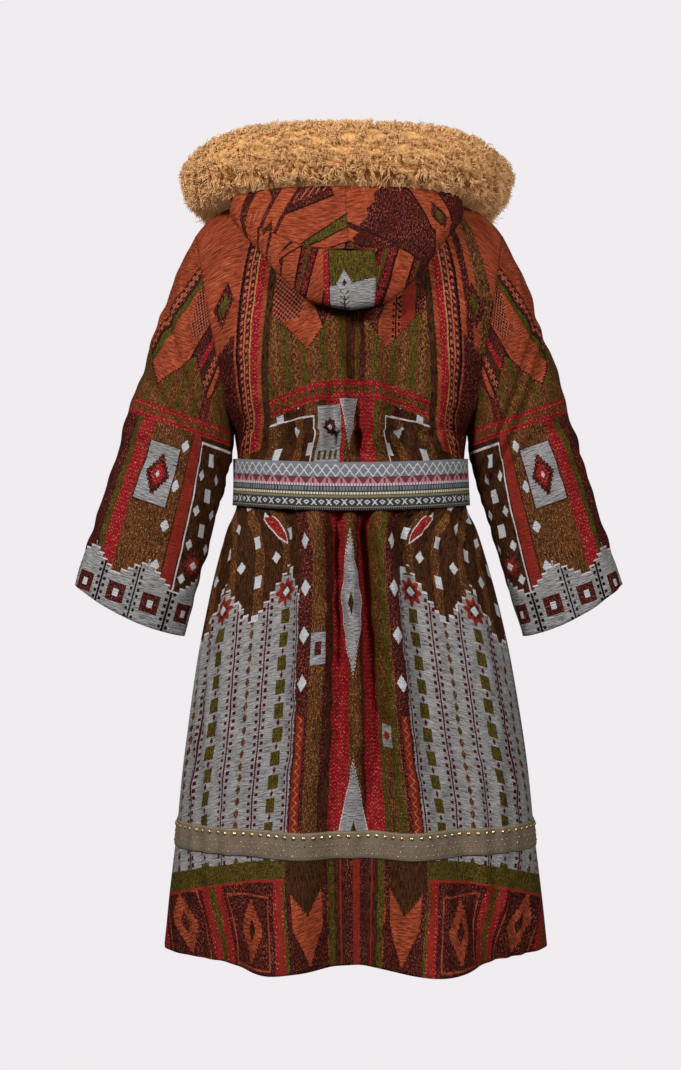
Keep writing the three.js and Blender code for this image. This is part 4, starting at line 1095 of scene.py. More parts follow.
tape_z = np.linspace(TAPE_LOW, TAPE_HIGH, TAPE_ROWS)
tape, tape_out = skirt_band(tape_z, SEAM)
bulge = TAPE_THICK * (1 - 0.55 * (np.abs(np.linspace(-1, 1, TAPE_ROWS)) ** 8))[:, None, None]
line = tape[TAPE_ROWS // 2]
round_ = np.cumsum(np.linalg.norm(np.diff(line, axis=0, prepend=line[:1]), axis=-1))
share = np.linspace(0, 1, TAPE_ROWS)[:, None]
uv = np.stack([round_[None] + 0 * share, share * (TAPE_HIGH - TAPE_LOW) + 0 * round_[None]], axis=-1)
pieces["hem_tape"] = wall("tape_band", leant(tape + tape_out * bulge), leant(tape), uv)
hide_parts("hem_tape")
print("tape is", round(float(round_[-1]), 3), "m round")

# %% [markdown]
# ## Studs
# Each stud is a small dome pressed through the tape. One dome of a few dozen faces is made once and
# copied to every place along the tape's own surface, turned to face outwards.

# %% Studs
def dome(radius, height, rings, sides):
    """Half an ellipsoid: its section is a quarter of an ellipse turned about the axis, closed below."""
    lift = np.linspace(0, HALF_PI, rings + 1)[:-1]
    turn = np.arange(sides) / sides * math.tau
    body = stack(
        radius * np.cos(lift)[:, None] * np.cos(turn), radius * np.cos(lift)[:, None] * np.sin(turn),
        height * np.sin(lift)[:, None],
    ).reshape(-1, 3)
    points = np.concatenate([body, [[0, 0, height]], [[0, 0, -0.0004]]])
    top, bottom = len(body), len(body) + 1
    this = np.arange(sides)
    following = (this + 1) % sides
    starts = np.arange(rings - 1) * sides
    halves = [
        np.stack([r + this, r + following, r + sides + following], -1) for r in starts
    ] + [
        np.stack([r + this, r + sides + following, r + sides + this], -1) for r in starts
    ]
    last = (rings - 1) * sides
    caps = [
        np.stack([last + this, last + following, np.full(sides, top)], -1),
        np.stack([following, this, np.full(sides, bottom)], -1),
    ]
    return points, np.concatenate(halves + caps)


def studded(name, row_share, pitch, radius, height, rings, sides, offset=0.5):
    """Copies a dome along the tape at a share of its height, one each pitch of its length."""
    shape, faces = dome(radius, height, rings, sides)
    row = row_share * (len(tape_z) - 1)
    low, part = int(row), row - int(row)
    line = mix(tape[low], tape[low + 1], part) + tape_out[low] * TAPE_THICK
    upward = unit(tape[low + 1] - tape[low])
    at = np.arange(pitch * offset, round_[-1] - pitch * 0.3, pitch)
    middle = np.stack([np.interp(at, round_, line[:, k]) for k in range(3)], -1)
    out = unit(np.stack([np.interp(at, round_, tape_out[low, :, k]) for k in range(3)], -1))
    up = unit(np.stack([np.interp(at, round_, upward[:, k]) for k in range(3)], -1))
    across = unit(np.cross(up, out))
    points = (
        middle[:, None]
        + across[:, None] * shape[None, :, :1]
        + np.cross(out, across)[:, None] * shape[None, :, 1:2]
        + out[:, None] * shape[None, :, 2:]
    )
    all_faces = faces[None] + (np.arange(len(at)) * len(shape))[:, None, None]
    piece = mesh_of(name, leant(points.reshape(-1, 3)), all_faces.reshape(-1, 3))
    return piece


pieces["studs_large"] = studded("studs_large", 0.80, 0.0127, 0.0028, 0.0017, 4, 12)
pieces["studs_row_1"] = studded("studs_row_1", 0.52, 0.0078, 0.0013, 0.0009, 2, 6)
pieces["studs_row_2"] = studded("studs_row_2", 0.34, 0.0078, 0.0011, 0.0008, 2, 6, offset=1.0)
pieces["studs_row_3"] = studded("studs_row_3", 0.17, 0.0078, 0.0011, 0.0008, 2, 6)

# %% [markdown]
# ## How large each piece is cut
# Every piece of cloth was cut flat before it was sewn. A cut is given by the smallest upright
# rectangle that it comes out of and by its own area. The area is what a maker pays for.

# %% The cuts
CUTS = {  # widest and longest of the cut in metres, its area, how it is held, and what it lies on
    "back": ((0.78, 1.08), 0.570, "draped", []),
    "front_right": ((0.42, 1.00), 0.306, "draped", ["front_left"]),
    "front_left": ((0.42, 1.00), 0.306, "draped", []),
    "sleeve_right": ((0.68, 0.52), 0.168, "hung", ["back", "front_right"]),
    "sleeve_left": ((0.68, 0.52), 0.168, "hung", ["back", "front_left"]),
    "hood_right": ((0.45, 0.37), 0.052, "draped", ["back"]),
    "hood_left": ((0.45, 0.37), 0.052, "draped", ["back"]),
    "hood_gusset": ((0.068, 0.284), 0.0151, "draped", ["hood_right", "hood_left"]),
    "belt": ((0.921, 0.063), None, "stretched", ["back", "front_right", "front_left"]),
    "hem_tape": ((1.258, 0.036), None, "laid", ["back", "front_right", "front_left"]),
}
studs = [pieces[name] for name in ("studs_large", "studs_row_1", "studs_row_2", "studs_row_3")]
for name, (flat, area, held, under) in CUTS.items():
    studs if name == "hem_tape" else []
total = sum(area or flat[0] * flat[1] for flat, area, _, _ in CUTS.values())
print("cloth cut:", round(total, 2), "square metres")

# %% [markdown]
# ## Colour that is woven in
# A jacquard loom lifts every warp thread by itself, so figures, stripes and flecks of each colour
# are all part of one cloth. The shaders work the same way: short functions say where a figure is,
# and layers of yarn colour are laid over each other through those masks. Positions are snapped to
# threads first, so slanting edges come out in small steps, as woven ones do.

# %% Arithmetic on shader values
class Wire:
    """A value on its way through a material. Sums and comparisons of wires add the maths nodes."""

    def __init__(self, tree, socket):
        self.tree, self.socket = tree, socket

    def node(self, kind, values, out=0, **settings):
        """Any node: its kind, its settings, and numbers or wires for the inputs named or numbered."""
        made = self.tree.nodes.new(kind)
        for name, setting in settings.items():
            setattr(made, name, setting)
        for key, value in values.items():
            if isinstance(value, Wire):
                self.tree.links.new(value.socket, made.inputs[key])
            else:
                made.inputs[key].default_value = value
        return Wire(self.tree, made.outputs[out])

    def maths(self, operation, a, b=0.0, clamp=False):
        """One maths node."""
        return self.node("ShaderNodeMath", {0: a, 1: b}, operation=operation, use_clamp=clamp)

    def __add__(self, other):
        return self.maths("ADD", self, other)

    def __radd__(self, other):
        return self.maths("ADD", other, self)

    def __sub__(self, other):
        return self.maths("SUBTRACT", self, other)

    def __rsub__(self, other):
        return self.maths("SUBTRACT", other, self)

    def __mul__(self, other):
        return self.maths("MULTIPLY", self, other)

    def __rmul__(self, other):
        return self.maths("MULTIPLY", other, self)

    def __truediv__(self, other):
        return self.maths("DIVIDE", self, other)

    def __rtruediv__(self, other):
        return self.maths("DIVIDE", other, self)

    def __pow__(self, other):
        return self.maths("POWER", self, other)

    def __mod__(self, other):
        return self.maths("FLOORED_MODULO", self, other)

    def __lt__(self, other):
        return self.maths("LESS_THAN", self, other)

    def __gt__(self, other):
        return self.maths("GREATER_THAN", self, other)

    def __and__(self, other):
        return self.maths("MINIMUM", self, other)

    def __or__(self, other):
        return self.maths("MAXIMUM", self, other)

    def __abs__(self):
        return self.maths("ABSOLUTE", self)

    def floor(self):
        return self.maths("FLOOR", self)

    def sin(self):
        return self.maths("SINE", self)

    def cos(self):
        return self.maths("COSINE", self)

    def clamp(self):
        return self.maths("ADD", self, 0.0, clamp=True)


def dye(code):
    """A yarn colour from its six-figure colour code, as linear light."""
    c = np.array([int(code[i : i + 2], 16) for i in (0, 2, 4)]) / 255
    return (*np.where(c <= 0.04045, c / 12.92, ((c + 0.055) / 1.055) ** 2.4), 1.0)


def lay(under, over, mask):
    """One colour over another where the mask is 1."""
    return mask.node("ShaderNodeMix", {0: mask, 6: under, 7: over}, out=2, data_type="RGBA")


def layers(ground, *rest):
    """Lays pairs of mask and colour on the ground, one after another."""
    for mask, colour in rest:
        ground = lay(ground, colour, mask)
    return ground


def noise(u, v, across, up, detail=2.0, rough=0.55):
    """Cloudy noise between 0 and 1 whose grains measure 1/across by 1/up metres."""
    place = u.node("ShaderNodeCombineXYZ", {0: u * across, 1: v * up})
    values = {"Vector": place, "Scale": 1.0, "Detail": detail, "Roughness": rough}
    return u.node("ShaderNodeTexNoise", values, noise_dimensions="2D")


def steep(x, low, high):
    """0 below low, 1 above high, straight between."""
    return ((x - low) / (high - low)).clamp()

# %% [markdown]
# ## A small stock of woven figures
# Lozenges, stars, stepped peaks, combs, zigzags and small flowers turn up in woven cloth all over the
# world, because they are what a loom can draw with few threads. Each is a mask here: 1 inside the
# figure and 0 outside.

# %% Figures that weavers use everywhere
def centred(x, pitch):
    """Counts x over and over from -pitch/2 to pitch/2."""
    return (x + pitch / 2) % pitch - pitch / 2


def between(x, low, high):
    """1 where x lies between low and high."""
    return (x > low) & (x < high)


def stripes(x, inks, *edges):
    """Pairs of mask and colour, one for each low edge, high edge and name of an ink."""
    return [(between(x, low, high), inks[name]) for low, high, name in edges]


def box(x, y, half_width, half_height):
    """1 where across and up are both within their half sizes."""
    return (abs(x) < half_width) & (abs(y) < half_height)


def lozenge(x, y, half_width, half_height):
    """Across over its half width plus up over its half height is under 1."""
    return abs(x) / half_width + abs(y) / half_height < 1


def rim(figure, x, y, width, height, line):
    """The edge of a figure, line wide."""
    return figure(x, y, width, height) & (1 - figure(x, y, width - line, height - line))


def star(x, y, radius):
    """Eight points: a square and the same square stood on its corner."""
    return box(x, y, radius * 0.7, radius * 0.7) | lozenge(x, y, radius, radius)


def flower(x, y, radius):
    """Eight round petals: the edge swells with the cosine of eight times the angle."""
    angle = x.maths("ARCTAN2", y, x)
    reach = (x * x + y * y) ** 0.5
    return reach < radius * (0.84 + 0.16 * (angle * 8).cos())


def peaks(x, pitch):
    """A zigzag between 0 and 1."""
    return abs(centred(x, pitch)) * (2 / pitch)


def zigzag(x, y, pitch, swing, half_line):
    """A line that runs up and swings to both sides."""
    return abs(x - (peaks(y, pitch) - 0.5) * swing) < half_line


def stem(x, y, pitch, reach):
    """An upright line with a pair of buds at every pitch."""
    bud = between(abs(x), reach * 0.45, reach) & (abs(centred(y, pitch)) < pitch * 0.23)
    return bud | (abs(x) < 0.0012)


def chain(x, y, pitch, half_width, half_height):
    """Small blocks one above another with a dot between each two."""
    dot = lozenge(x, centred(y + pitch / 2, pitch), 0.0026, 0.0048)
    return box(x, centred(y, pitch), half_width, half_height), dot

# %% [markdown]
# ## Yarns and ground weaves
# Each colour of the cloth is a weave and not a flat dye: a dark ground yarn shows between the bright
# ones, streaks follow the warp, crinkles run across, and a few metallic floats catch the light. All the
# weaves share the same noises, so that one relief and one set of glints fits every colour. In the
# orange, red and marl the colour also follows the crinkles' relief: darker in their troughs, which is
# painted shade, and in the orange lighter on their crests, which is a painted highlight.

# %% Yarns
# salmon is not a yarn: it is the painted highlight on the crests of the orange's crinkles.
INK = {
    "orange": "A84A2C", "rust": "4A160A", "wine": "4A1010", "plum": "190707", "pink": "AE5C42",
    "bronze": "74401E", "gold": "AC7A44", "chocolate": "160D05", "olive": "544A0E", "moss": "1C1A06",
    "red": "9C1024", "cherry": "48050C", "brick": "8E2A1E", "marl": "A9A6A5", "slate": "4E4A4A",
    "pale": "CDBEBF", "snow": "BDBDBF", "painted_highlight_salmon": "C47A58",
}
INK = {name: dye(code) for name, code in INK.items()}


def start_material(name):
    """A material whose principled shader is ready, with the piece's flat coordinates as wires."""
    material = bpy.data.materials.new(name)
    material.use_nodes = True
    tree = material.node_tree
    shader = tree.nodes["Principled BSDF"]
    coordinates = tree.nodes.new("ShaderNodeTexCoord")
    flat = Wire(tree, coordinates.outputs["UV"])
    split = flat.node("ShaderNodeSeparateXYZ", {0: flat})
    other = Wire(tree, split.socket.node.outputs[1])
    return material, shader, split, other


def finish_material(shader, colour, roughness, height, distance):
    """Feeds the colour and a bump into the shader and sets its roughness."""
    links = shader.id_data.links
    links.new(colour.socket, shader.inputs["Base Color"])
    shader.inputs["Roughness"].default_value = roughness
    raised = colour.node("ShaderNodeBump", {"Height": height, "Distance": distance, "Strength": 1.0})
    links.new(raised.socket, shader.inputs["Normal"])


def yarns(u, v):
    """The ground weaves. Crinkles run across, streaks run up, flecks are short floats of a lighter
    yarn, and tone drifts slowly over the whole cloth. Orange, red and marl turn darker where the
    crinkle sinks, which is painted shade, and orange turns salmon on the crinkle crests, which is a
    painted highlight."""
    crinkle = noise(u, v + 0.004 * (u * 40).sin(), 74, 560, 3.0, 0.62)
    marl = noise(u, v, 70, 1050, 3.0, 0.6)
    streak = noise(u, v, 620, 95, 3.0, 0.65)
    fleck = noise(u, v, 640, 300, 1.0)
    drift = noise(u, v, 26, 20, 2.0)
    rows = abs(centred(v + 0.0012 * (u * 900).sin(), 0.0052)) < 0.0011
    across, up = steep(crinkle, 0.36, 0.62), steep(streak, 0.38, 0.62)
    speck, tone = steep(fleck, 0.56, 0.64), steep(drift, 0.3, 0.7)
    weave = {
        # Orange: rust shows in the crinkle troughs as painted shade, and salmon lies on the crinkle crests as
        # a painted highlight; the last rust layer follows the slow tone.
        "orange": layers(INK["rust"], (0.3 + 0.7 * steep(crinkle, 0.38, 0.54), INK["orange"]),
                         (0.45 * steep(crinkle, 0.56, 0.7), INK["painted_highlight_salmon"]), (0.3 * tone, INK["rust"])),
        "wine": layers(INK["plum"], (0.9 * up, INK["wine"]), (speck * (0.2 + 0.5 * tone), INK["pink"])),
        "bronze": layers(INK["chocolate"], (0.12 + 0.88 * up * (0.4 + 0.6 * tone), INK["bronze"]),
                         (speck * (0.2 + 0.6 * up), INK["gold"])),
        "olive": layers(INK["moss"], (0.1 + 0.8 * up, INK["olive"]), (speck * 0.3, INK["gold"])),
        # Red: cherry shows where the crinkle sinks, painted shade in the troughs; the gold dots in rows are
        # yarn.
        "red": layers(INK["cherry"], (0.35 + 0.65 * across, INK["red"]), (rows & speck, INK["gold"])),
        "brick": layers(INK["rust"], (0.5 + 0.5 * up, INK["brick"])),
        # Marl: the marl noise is the yarn itself; the slate laid where the crinkle sinks is painted shade in
        # the troughs.
        "marl": layers(INK["slate"], (0.15 + 0.85 * steep(marl, 0.36, 0.54), INK["marl"]),
                       (0.3 * (1 - across), INK["slate"])),
        "dark": layers(INK["chocolate"], (0.45 * up, INK["bronze"])),
        "pale": INK["pale"], "snow": INK["snow"],
    }
    height = 0.6 * crinkle + 0.25 * streak + 0.15 * fleck
    return weave, height, speck * across

# %% [markdown]
# ## The pattern
# The pattern is a patchwork of figures that weavers have used for centuries: lozenges, stepped
# peaks, zigzags, eight-point stars, combs and small flowers. Upright columns run down the skirt,
# panels of squares sit at the waist, and large orange points hang from the yoke. It is laid out for
# this coat, the same on both sides of the centre with a few exceptions, as woven panels often are.
#
# The skirt comes first. Its flared sides are marl with upright columns of blocks, stems and wavy
# lines. Between the deep folds of the middle run stripes with a chain of tall lozenges. In all of
# these a is the distance from the centre line, so most figures come out twice, once on each side.

# %% The pattern of the skirt
THREAD = 0.0011
COLUMN_AT, COLUMN_PITCH = 0.137, 0.104


def snapped(x, thread=THREAD):
    """The middle of the thread that x lies on."""
    return ((x / thread).floor() + 0.5) * thread


def side_pattern(a, v, weave):
    """Columns of blocks on marl, with a stem on both sides of each and a wavy line between them."""
    columns = centred(a - COLUMN_AT, COLUMN_PITCH)
    blocks, dots = chain(columns, v, 0.0310, 0.0072, 0.0094)
    stems = stem(abs(columns) - 0.028, v, 0.0098, 0.0072) & (abs(columns) > 0.001)
    waves = abs(abs(columns) - 0.052 - 0.0018 * (v * 400).sin()) < 0.0018
    return layers(
        weave["marl"], (stems, INK["cherry"]), (waves, weave["bronze"]),
        (dots, INK["cherry"]), (blocks, weave["olive"]),
    )


def middle_pattern(u, a, v, weave):
    """Stripes, a chain of tall lozenges down the middle and two small cards."""
    stripe, tall_v = u + 0.004, centred(v - 0.47, 0.30)
    return layers(
        weave["bronze"], *stripes(a, weave, (0.012, 0.046, "red"), (0.046, 0.053, "olive")),
        *stripes(u, weave, (-0.056, -0.044, "dark"), (0.010, 0.018, "wine")),
        *stripes(u, weave, (0.066, 0.078, "olive"), (-0.06, -0.053, "wine")),
        (between(a, 0.083, 0.105), weave["wine"]), (between(a, 0.088, 0.101) & (v < 0.33), weave["brick"]),
        (zigzag(a - 0.0945, v, 0.012, 0.007, 0.0008) & (v < 0.33), INK["gold"]),
        (lozenge(a - 0.094, centred(v, 0.062), 0.0085, 0.0115) & (v > 0.33), weave["snow"]),
        (lozenge(stripe, tall_v, 0.022, 0.092), weave["marl"]),
        (rim(lozenge, stripe, tall_v, 0.0235, 0.098, 0.0016), INK["pale"]),
        (lozenge(stripe, tall_v, 0.005, 0.016), weave["dark"]),
        (box(u + 0.071, v - 0.415, 0.012, 0.021), weave["marl"]),
        (box(u + 0.071, v - 0.415, 0.005, 0.009), weave["wine"]),
        (box(u - 0.061, v - 0.30, 0.008, 0.015), weave["marl"]),
        (star(u - 0.061, v - 0.30, 0.006), weave["brick"]),
    )


def square_pattern(a, v, weave):
    """Squares and lozenges in turn on a dark ground."""
    return layers(
        weave["dark"], (between(peaks(a, 0.046), 0.0, 0.34), weave["bronze"]),
        (box(centred(a - 0.012, 0.058), centred(v, 0.052), 0.0056, 0.0082), weave["snow"]),
        (lozenge(centred(a + 0.017, 0.058), centred(v + 0.026, 0.052), 0.0066, 0.0084), weave["snow"]),
    )


def skirt_pattern(u, a, v, weave, squares):
    """The sides end in stepped peaks with a flower on each; above them lie squares and two leaves."""
    outer = a > 0.105
    top = snapped(0.462 + 0.066 * (1 - peaks(a - COLUMN_AT, COLUMN_PITCH)), 0.0105)
    cloth = layers(
        middle_pattern(u, a, v, weave), (outer, side_pattern(a, v, weave)),
        (outer & (v > top), INK["pale"]), (outer & (v > top + 0.0024), squares),
    )
    along_leaf = (v - 0.588) + 0.42 * (a - 0.150)
    across_leaf = (a - 0.150) - 0.42 * (v - 0.588)
    leaf = (along_leaf / 0.030) * (along_leaf / 0.030) + abs(across_leaf) / 0.0085
    cloth = layers(
        cloth, (leaf < 1.25, INK["pale"]), (leaf < 1.0, weave["brick"]), (leaf < 0.45, weave["red"]),
    )
    x, y, near = centred(a - COLUMN_AT, COLUMN_PITCH), v - 0.497, outer & (a < 0.27)
    return layers(
        cloth, (near & flower(x, y, 0.0185), weave["brick"]), (near & flower(x, y, 0.011), weave["wine"]),
        (near & lozenge(x, y, 0.007, 0.007), weave["snow"]),
    )

# %% [markdown]
# ## Waist and chest
# Framed panels of squares sit at the waist with one card of marl beside the middle. The chest above
# is upright ribs of bronze and olive, closed below by a red band. Its lower edge arches, as the level
# lines of the cloth do over the back.

# %% The pattern of the waist and the chest
def waist_pattern(u, a, v, weave, squares):
    """Pairs of mask and colour for the framed panels and the card."""
    high = 0.722 - 0.9 * (a - 0.11) * (a - 0.11)
    framed = between(a, 0.066, 0.30) & between(v, 0.60, high)
    inside = between(a, 0.0685, 0.30) & (v < high - 0.0026)
    card = box(u + 0.040, v - 0.690, 0.020, 0.042)
    return (
        (framed, INK["pale"]), (framed & inside, squares), (card, weave["marl"]),
        (star(u + 0.040, v - 0.703, 0.0125), weave["wine"]),
        (lozenge(u + 0.040, v - 0.703, 0.004, 0.004), weave["snow"]),
        (between(v, 0.660, 0.672) & card & (abs(centred(u, 0.009)) < 0.0022), weave["olive"]),
    )


def chest_pattern(u, a, v, weave):
    """Ribs with a dotted line at each edge, and the band with its row of lozenges."""
    ribs = centred(a, 0.030)
    band = v - 0.752 + 0.45 * a * a
    on_band = between(band, -0.012, 0.012)
    return layers(
        weave["bronze"], (abs(ribs) > 0.009, weave["olive"]),
        ((abs(abs(ribs) - 0.0085) < 0.0009) & (abs(centred(v, 0.0056)) < 0.0018), weave["brick"]),
        (zigzag(ribs, v, 0.011, 0.006, 0.0007) * 0.4, INK["gold"]), (between(a, 0, 0.008), weave["dark"]),
        (between(a, 0.016, 0.026) & (u > 0), weave["wine"]), (on_band, weave["red"]),
        (on_band & lozenge(centred(a, 0.011), band, 0.0045, 0.008), weave["olive"]),
    )

# %% [markdown]
# ## The yoke
# Large orange points hang from the shoulders over the chest. They carry netted patches and lozenges,
# and bands follow the armholes on both sides.

# %% The pattern of the yoke
def yoke_pattern(u, a, v, weave):
    """Patches, lozenges and stripes on orange."""
    patch = box(a - 0.098, v - 0.895, snapped(0.020 + 0.35 * (v - 0.86), 0.004), 0.045)
    net = (abs(centred(a + v, 0.0066)) < 0.001) | (abs(centred(a - v, 0.0066)) < 0.001)
    x, y = a - 0.045, v - 0.862
    return layers(
        weave["orange"], (patch, weave["wine"]), (patch & net, INK["pink"]),
        (lozenge(x, y, 0.013, 0.030), weave["wine"]),
        (rim(lozenge, x, y, 0.013, 0.030, 0.003), INK["moss"]), (lozenge(x, y, 0.005, 0.012), weave["brick"]),
        *stripes(a, weave, (0.0, 0.011, "dark"), (0.011, 0.018, "olive")),
        *stripes(u, weave, (0.018, 0.048, "wine"), (0.084, 0.104, "brick")),
        (stem(u - 0.076, v, 0.0085, 0.006), INK["plum"]),
        *stripes(u, weave, (0.104, 0.107, "dark"), (0.107, 0.118, "wine")),
    )


def armhole_bands(u, lean, v, weave):
    """Stripes and a dotted stem along the armhole; lean is the distance from the centre, slanted."""
    steps = snapped(0.86 - 0.6 * (lean - 0.184), 0.004)
    return layers(
        weave["wine"],
        *stripes(lean, weave, (0.132, 0.143, "dark"), (0.143, 0.149, "orange"), (0.149, 0.160, "red")),
        (between(lean, 0.160, 0.162), INK["gold"]), (stem(lean - 0.170, v, 0.0085, 0.006), INK["pink"]),
        (lean > 0.178, weave["orange"]), (between(lean, 0.188, 0.197) & (u > 0), weave["wine"]),
        (between(lean, 0.205, 0.222) & (u > 0), weave["bronze"]),
        (between(lean, 0.178, 0.181), INK["plum"]),
        (lozenge(lean - 0.200, v - 0.90, 0.012, 0.028), weave["wine"]),
        (lozenge(lean - 0.200, v - 0.90, 0.006, 0.014), weave["olive"]),
        ((lean > 0.184) & (v < steps), weave["wine"]),
    )

# %% [markdown]
# ## The hem
# Under the tape an olive band closes the marl. Below it lie framed orange medallions on wine, and
# pointed orange shards beside the middle. The band rises a little to the sides, because the cut does.

# %% The pattern of the hem
HEM_HIGH, HEM_RISE, MEDAL_RISE = 0.142, 0.28, 0.62


def hem_pattern(a, v, top, weave):
    """Medallions between stripes, shards and stripes in the middle, and the olive band at the top."""
    x, y = centred(a - 0.172, 0.13), v - MEDAL_RISE * a * a - 0.049
    figure = abs(snapped(x, 0.004)) / 0.028 + abs(snapped(y, 0.006)) / 0.038 < 1
    shard = snapped(abs(a - 0.077) * 2.2, 0.004) + 0.010
    return layers(
        weave["wine"], (rim(box, x, y, 0.038, 0.043, 0.0024), weave["orange"]), (figure, weave["orange"]),
        (lozenge(x, y, 0.009, 0.014), weave["wine"]), (abs(x) > 0.045, weave["red"]),
        (between(abs(x), 0.050, 0.058), weave["brick"]), (abs(x) > 0.060, weave["olive"]),
        (a < 0.016, weave["wine"]), (a < 0.006, weave["brick"]), (between(a, 0.016, 0.034), weave["dark"]),
        (abs(a - 0.024) < 0.0012, INK["red"]), (between(a, 0.034, 0.044), weave["olive"]),
        (between(a, 0.046, 0.108), weave["wine"]),
        (between(a, 0.054, 0.100) & (v > shard) & (v < 0.132), weave["orange"]),
        (between(a, 0.052, 0.104) & (v > shard + 0.062 - 0.9 * abs(a - 0.077)), weave["dark"]),
        ((v > top - 0.024) & (a > 0.11), weave["olive"]),
        (between(v, top - 0.0265, top - 0.0235) & (a > 0.11), INK["brick"]),
    )

# %% [markdown]
# ## The whole panel
# The parts are laid over each other from the skirt up, with the hem last. A dark thread outlines the
# points of the yoke, as weavers often outline a figure to keep its colour apart.

# %% The pattern of the body
def body_pattern(u, v, weave):
    """Skirt, waist, chest, yoke, armhole bands and hem; a is the distance from the centre."""
    a = abs(u)
    point_edge = snapped(0.806 + 0.072 * peaks(u + 0.070, 0.132), 0.0033)
    lean, top = a + 0.16 * (v - 0.8), HEM_HIGH + HEM_RISE * a * a
    squares = square_pattern(a, v, weave)
    return layers(
        skirt_pattern(u, a, v, weave, squares), *waist_pattern(u, a, v, weave, squares),
        (v > 0.739 - 0.5 * a * a, chest_pattern(u, a, v, weave)), (v > point_edge, INK["plum"]),
        (v > point_edge + 0.0018, yoke_pattern(u, a, v, weave)),
        ((lean > 0.132) & (v > 0.69), armhole_bands(u, lean, v, weave)),
        (v < top, hem_pattern(a, v, top, weave)),
    )

# %% [markdown]
# ## Sleeves
# The sleeves carry the same parts in the same order as the body: points at the shoulder, ribs, a red
# band, a framed panel with a card of marl, and stepped peaks with squares at the cuff. They are woven
# as separate panels, so the bands of body and sleeve need not meet.

# %% The pattern of the sleeves
CARD_DOWN, BAND_DOWN = 0.322, 0.245


def upper_arm(u, v, weave):
    """Ribs of bronze and olive with dotted edges."""
    ribs = centred(u, 0.030)
    return layers(
        weave["bronze"], (abs(ribs) > 0.009, weave["olive"]), (between(u, -0.052, -0.030), weave["wine"]),
        ((abs(abs(ribs) - 0.0085) < 0.0009) & (abs(centred(v, 0.0056)) < 0.0018), weave["brick"]),
    )


def sleeve_squares(side, v, weave):
    """A column of squares with a lozenge on both sides of it, half a step lower."""
    return layers(
        weave["dark"], (box(side, centred(v, 0.047), 0.0062, 0.0085), weave["snow"]),
        (lozenge(abs(side) - 0.016, centred(v + 0.023, 0.047), 0.0058, 0.0078), weave["snow"]),
    )


def forearm(u, v, down, weave):
    """Upright stripes, the framed panel of squares, and a card of marl with a stepped lozenge."""
    framed = (u < -0.048) & (down > 0.262)
    x, y = u - 0.012, down - CARD_DOWN
    stepped = snapped(x, 0.003)
    return layers(
        weave["bronze"],
        *stripes(u, weave, (-0.046, -0.030, "brick"), (-0.030, -0.027, "dark")),
        *stripes(u, weave, (0.040, 0.060, "red"), (0.060, 0.070, "olive")),
        (u > 0.070, weave["wine"]), (u < -0.046, weave["dark"]),
        (lozenge(u + 0.018, centred(v, 0.055), 0.0065, 0.0095), weave["snow"]),
        (framed, INK["pale"]),
        (framed & (u < -0.051) & (down > 0.265), sleeve_squares(u + 0.075, v, weave)),
        (box(x, y, 0.026, 0.042), weave["marl"]), (rim(box, x, y, 0.026, 0.042, 0.0016), weave["wine"]),
        (lozenge(stepped, y, 0.018, 0.030), weave["wine"]),
        (lozenge(stepped, y, 0.011, 0.018), weave["red"]), (lozenge(x, y, 0.003, 0.005), weave["snow"]),
    )


def cuff_pattern(u, v, down, weave):
    """Stems and squares on marl."""
    x, y = centred(u + 0.025, 0.050), down - 0.492
    return layers(
        weave["marl"], (stem(centred(u, 0.050), v, 0.0094, 0.0068), INK["plum"]),
        (box(x, y, 0.0125, 0.013), weave["wine"]), (box(x, y, 0.004, 0.005), weave["snow"]),
    )


def shoulder_pattern(u, v, down, weave):
    """Orange with a netted patch and slanting stripes."""
    patch = box(u - 0.030, down - 0.085, snapped(0.012 + 0.35 * (0.13 - down), 0.004), 0.050)
    net = (abs(centred(u + v, 0.0066)) < 0.001) | (abs(centred(u - v, 0.0066)) < 0.001)
    lean = u - 0.25 * down
    return layers(
        weave["orange"], (patch, weave["wine"]), (patch & net, INK["pink"]),
        *stripes(lean, weave, (-0.062, -0.052, "dark"), (-0.052, -0.042, "red"), (-0.042, -0.020, "wine")),
        (abs(lean + 0.020) < 0.0014, INK["plum"]), (lean < -0.062, weave["wine"]),
        *stripes(lean, weave, (-0.098, -0.086, "orange"), (0.045, 0.058, "olive")),
        (lean > 0.058, weave["wine"]),
        (stem(lean + 0.074, v, 0.0085, 0.006), INK["pink"]), (abs(lean + 0.086) < 0.0014, INK["plum"]),
        (abs(lean - 0.058) < 0.0012, INK["plum"]), (stem(lean - 0.070, v, 0.0085, 0.006), INK["pink"]),
        (lean > 0.080, weave["orange"]),
    )


def sleeve_pattern(u, v, weave):
    """v runs down from the shoulder as a negative number; u is 0 on the side that faces back and
    grows towards the body."""
    down = 0 - v
    cuff_edge = snapped(0.437 + 0.030 * peaks(u + 0.01, 0.085), 0.006)
    bloom_x, bloom_y = u + 0.072, down - 0.425
    lower = layers(
        forearm(u, v, down, weave), (down > cuff_edge, INK["pale"]),
        (down > cuff_edge + 0.002, cuff_pattern(u, v, down, weave)),
        (flower(bloom_x, bloom_y, 0.0185), weave["wine"]),
        (flower(bloom_x, bloom_y, 0.012), weave["brick"]),
        (lozenge(bloom_x, bloom_y, 0.006, 0.006), weave["snow"]),
    )
    band = down - BAND_DOWN
    on_band = between(band, -0.010, 0.010)
    edge = snapped(0.155 + 0.052 * peaks(u - 0.012, 0.105), 0.0033)
    return layers(
        upper_arm(u, v, weave), (on_band, weave["red"]),
        (on_band & lozenge(centred(u, 0.011), band, 0.0045, 0.007), weave["olive"]), (band > 0.010, lower),
        (down < edge + 0.0018, INK["plum"]), (down < edge, shoulder_pattern(u, v, down, weave)),
    )

# %% [markdown]
# ## Hood and gusset
# The halves of the hood are cut from different places of the cloth, which is why its two sides do not
# mirror each other. u keeps its sign here, so each half can be told from the other.

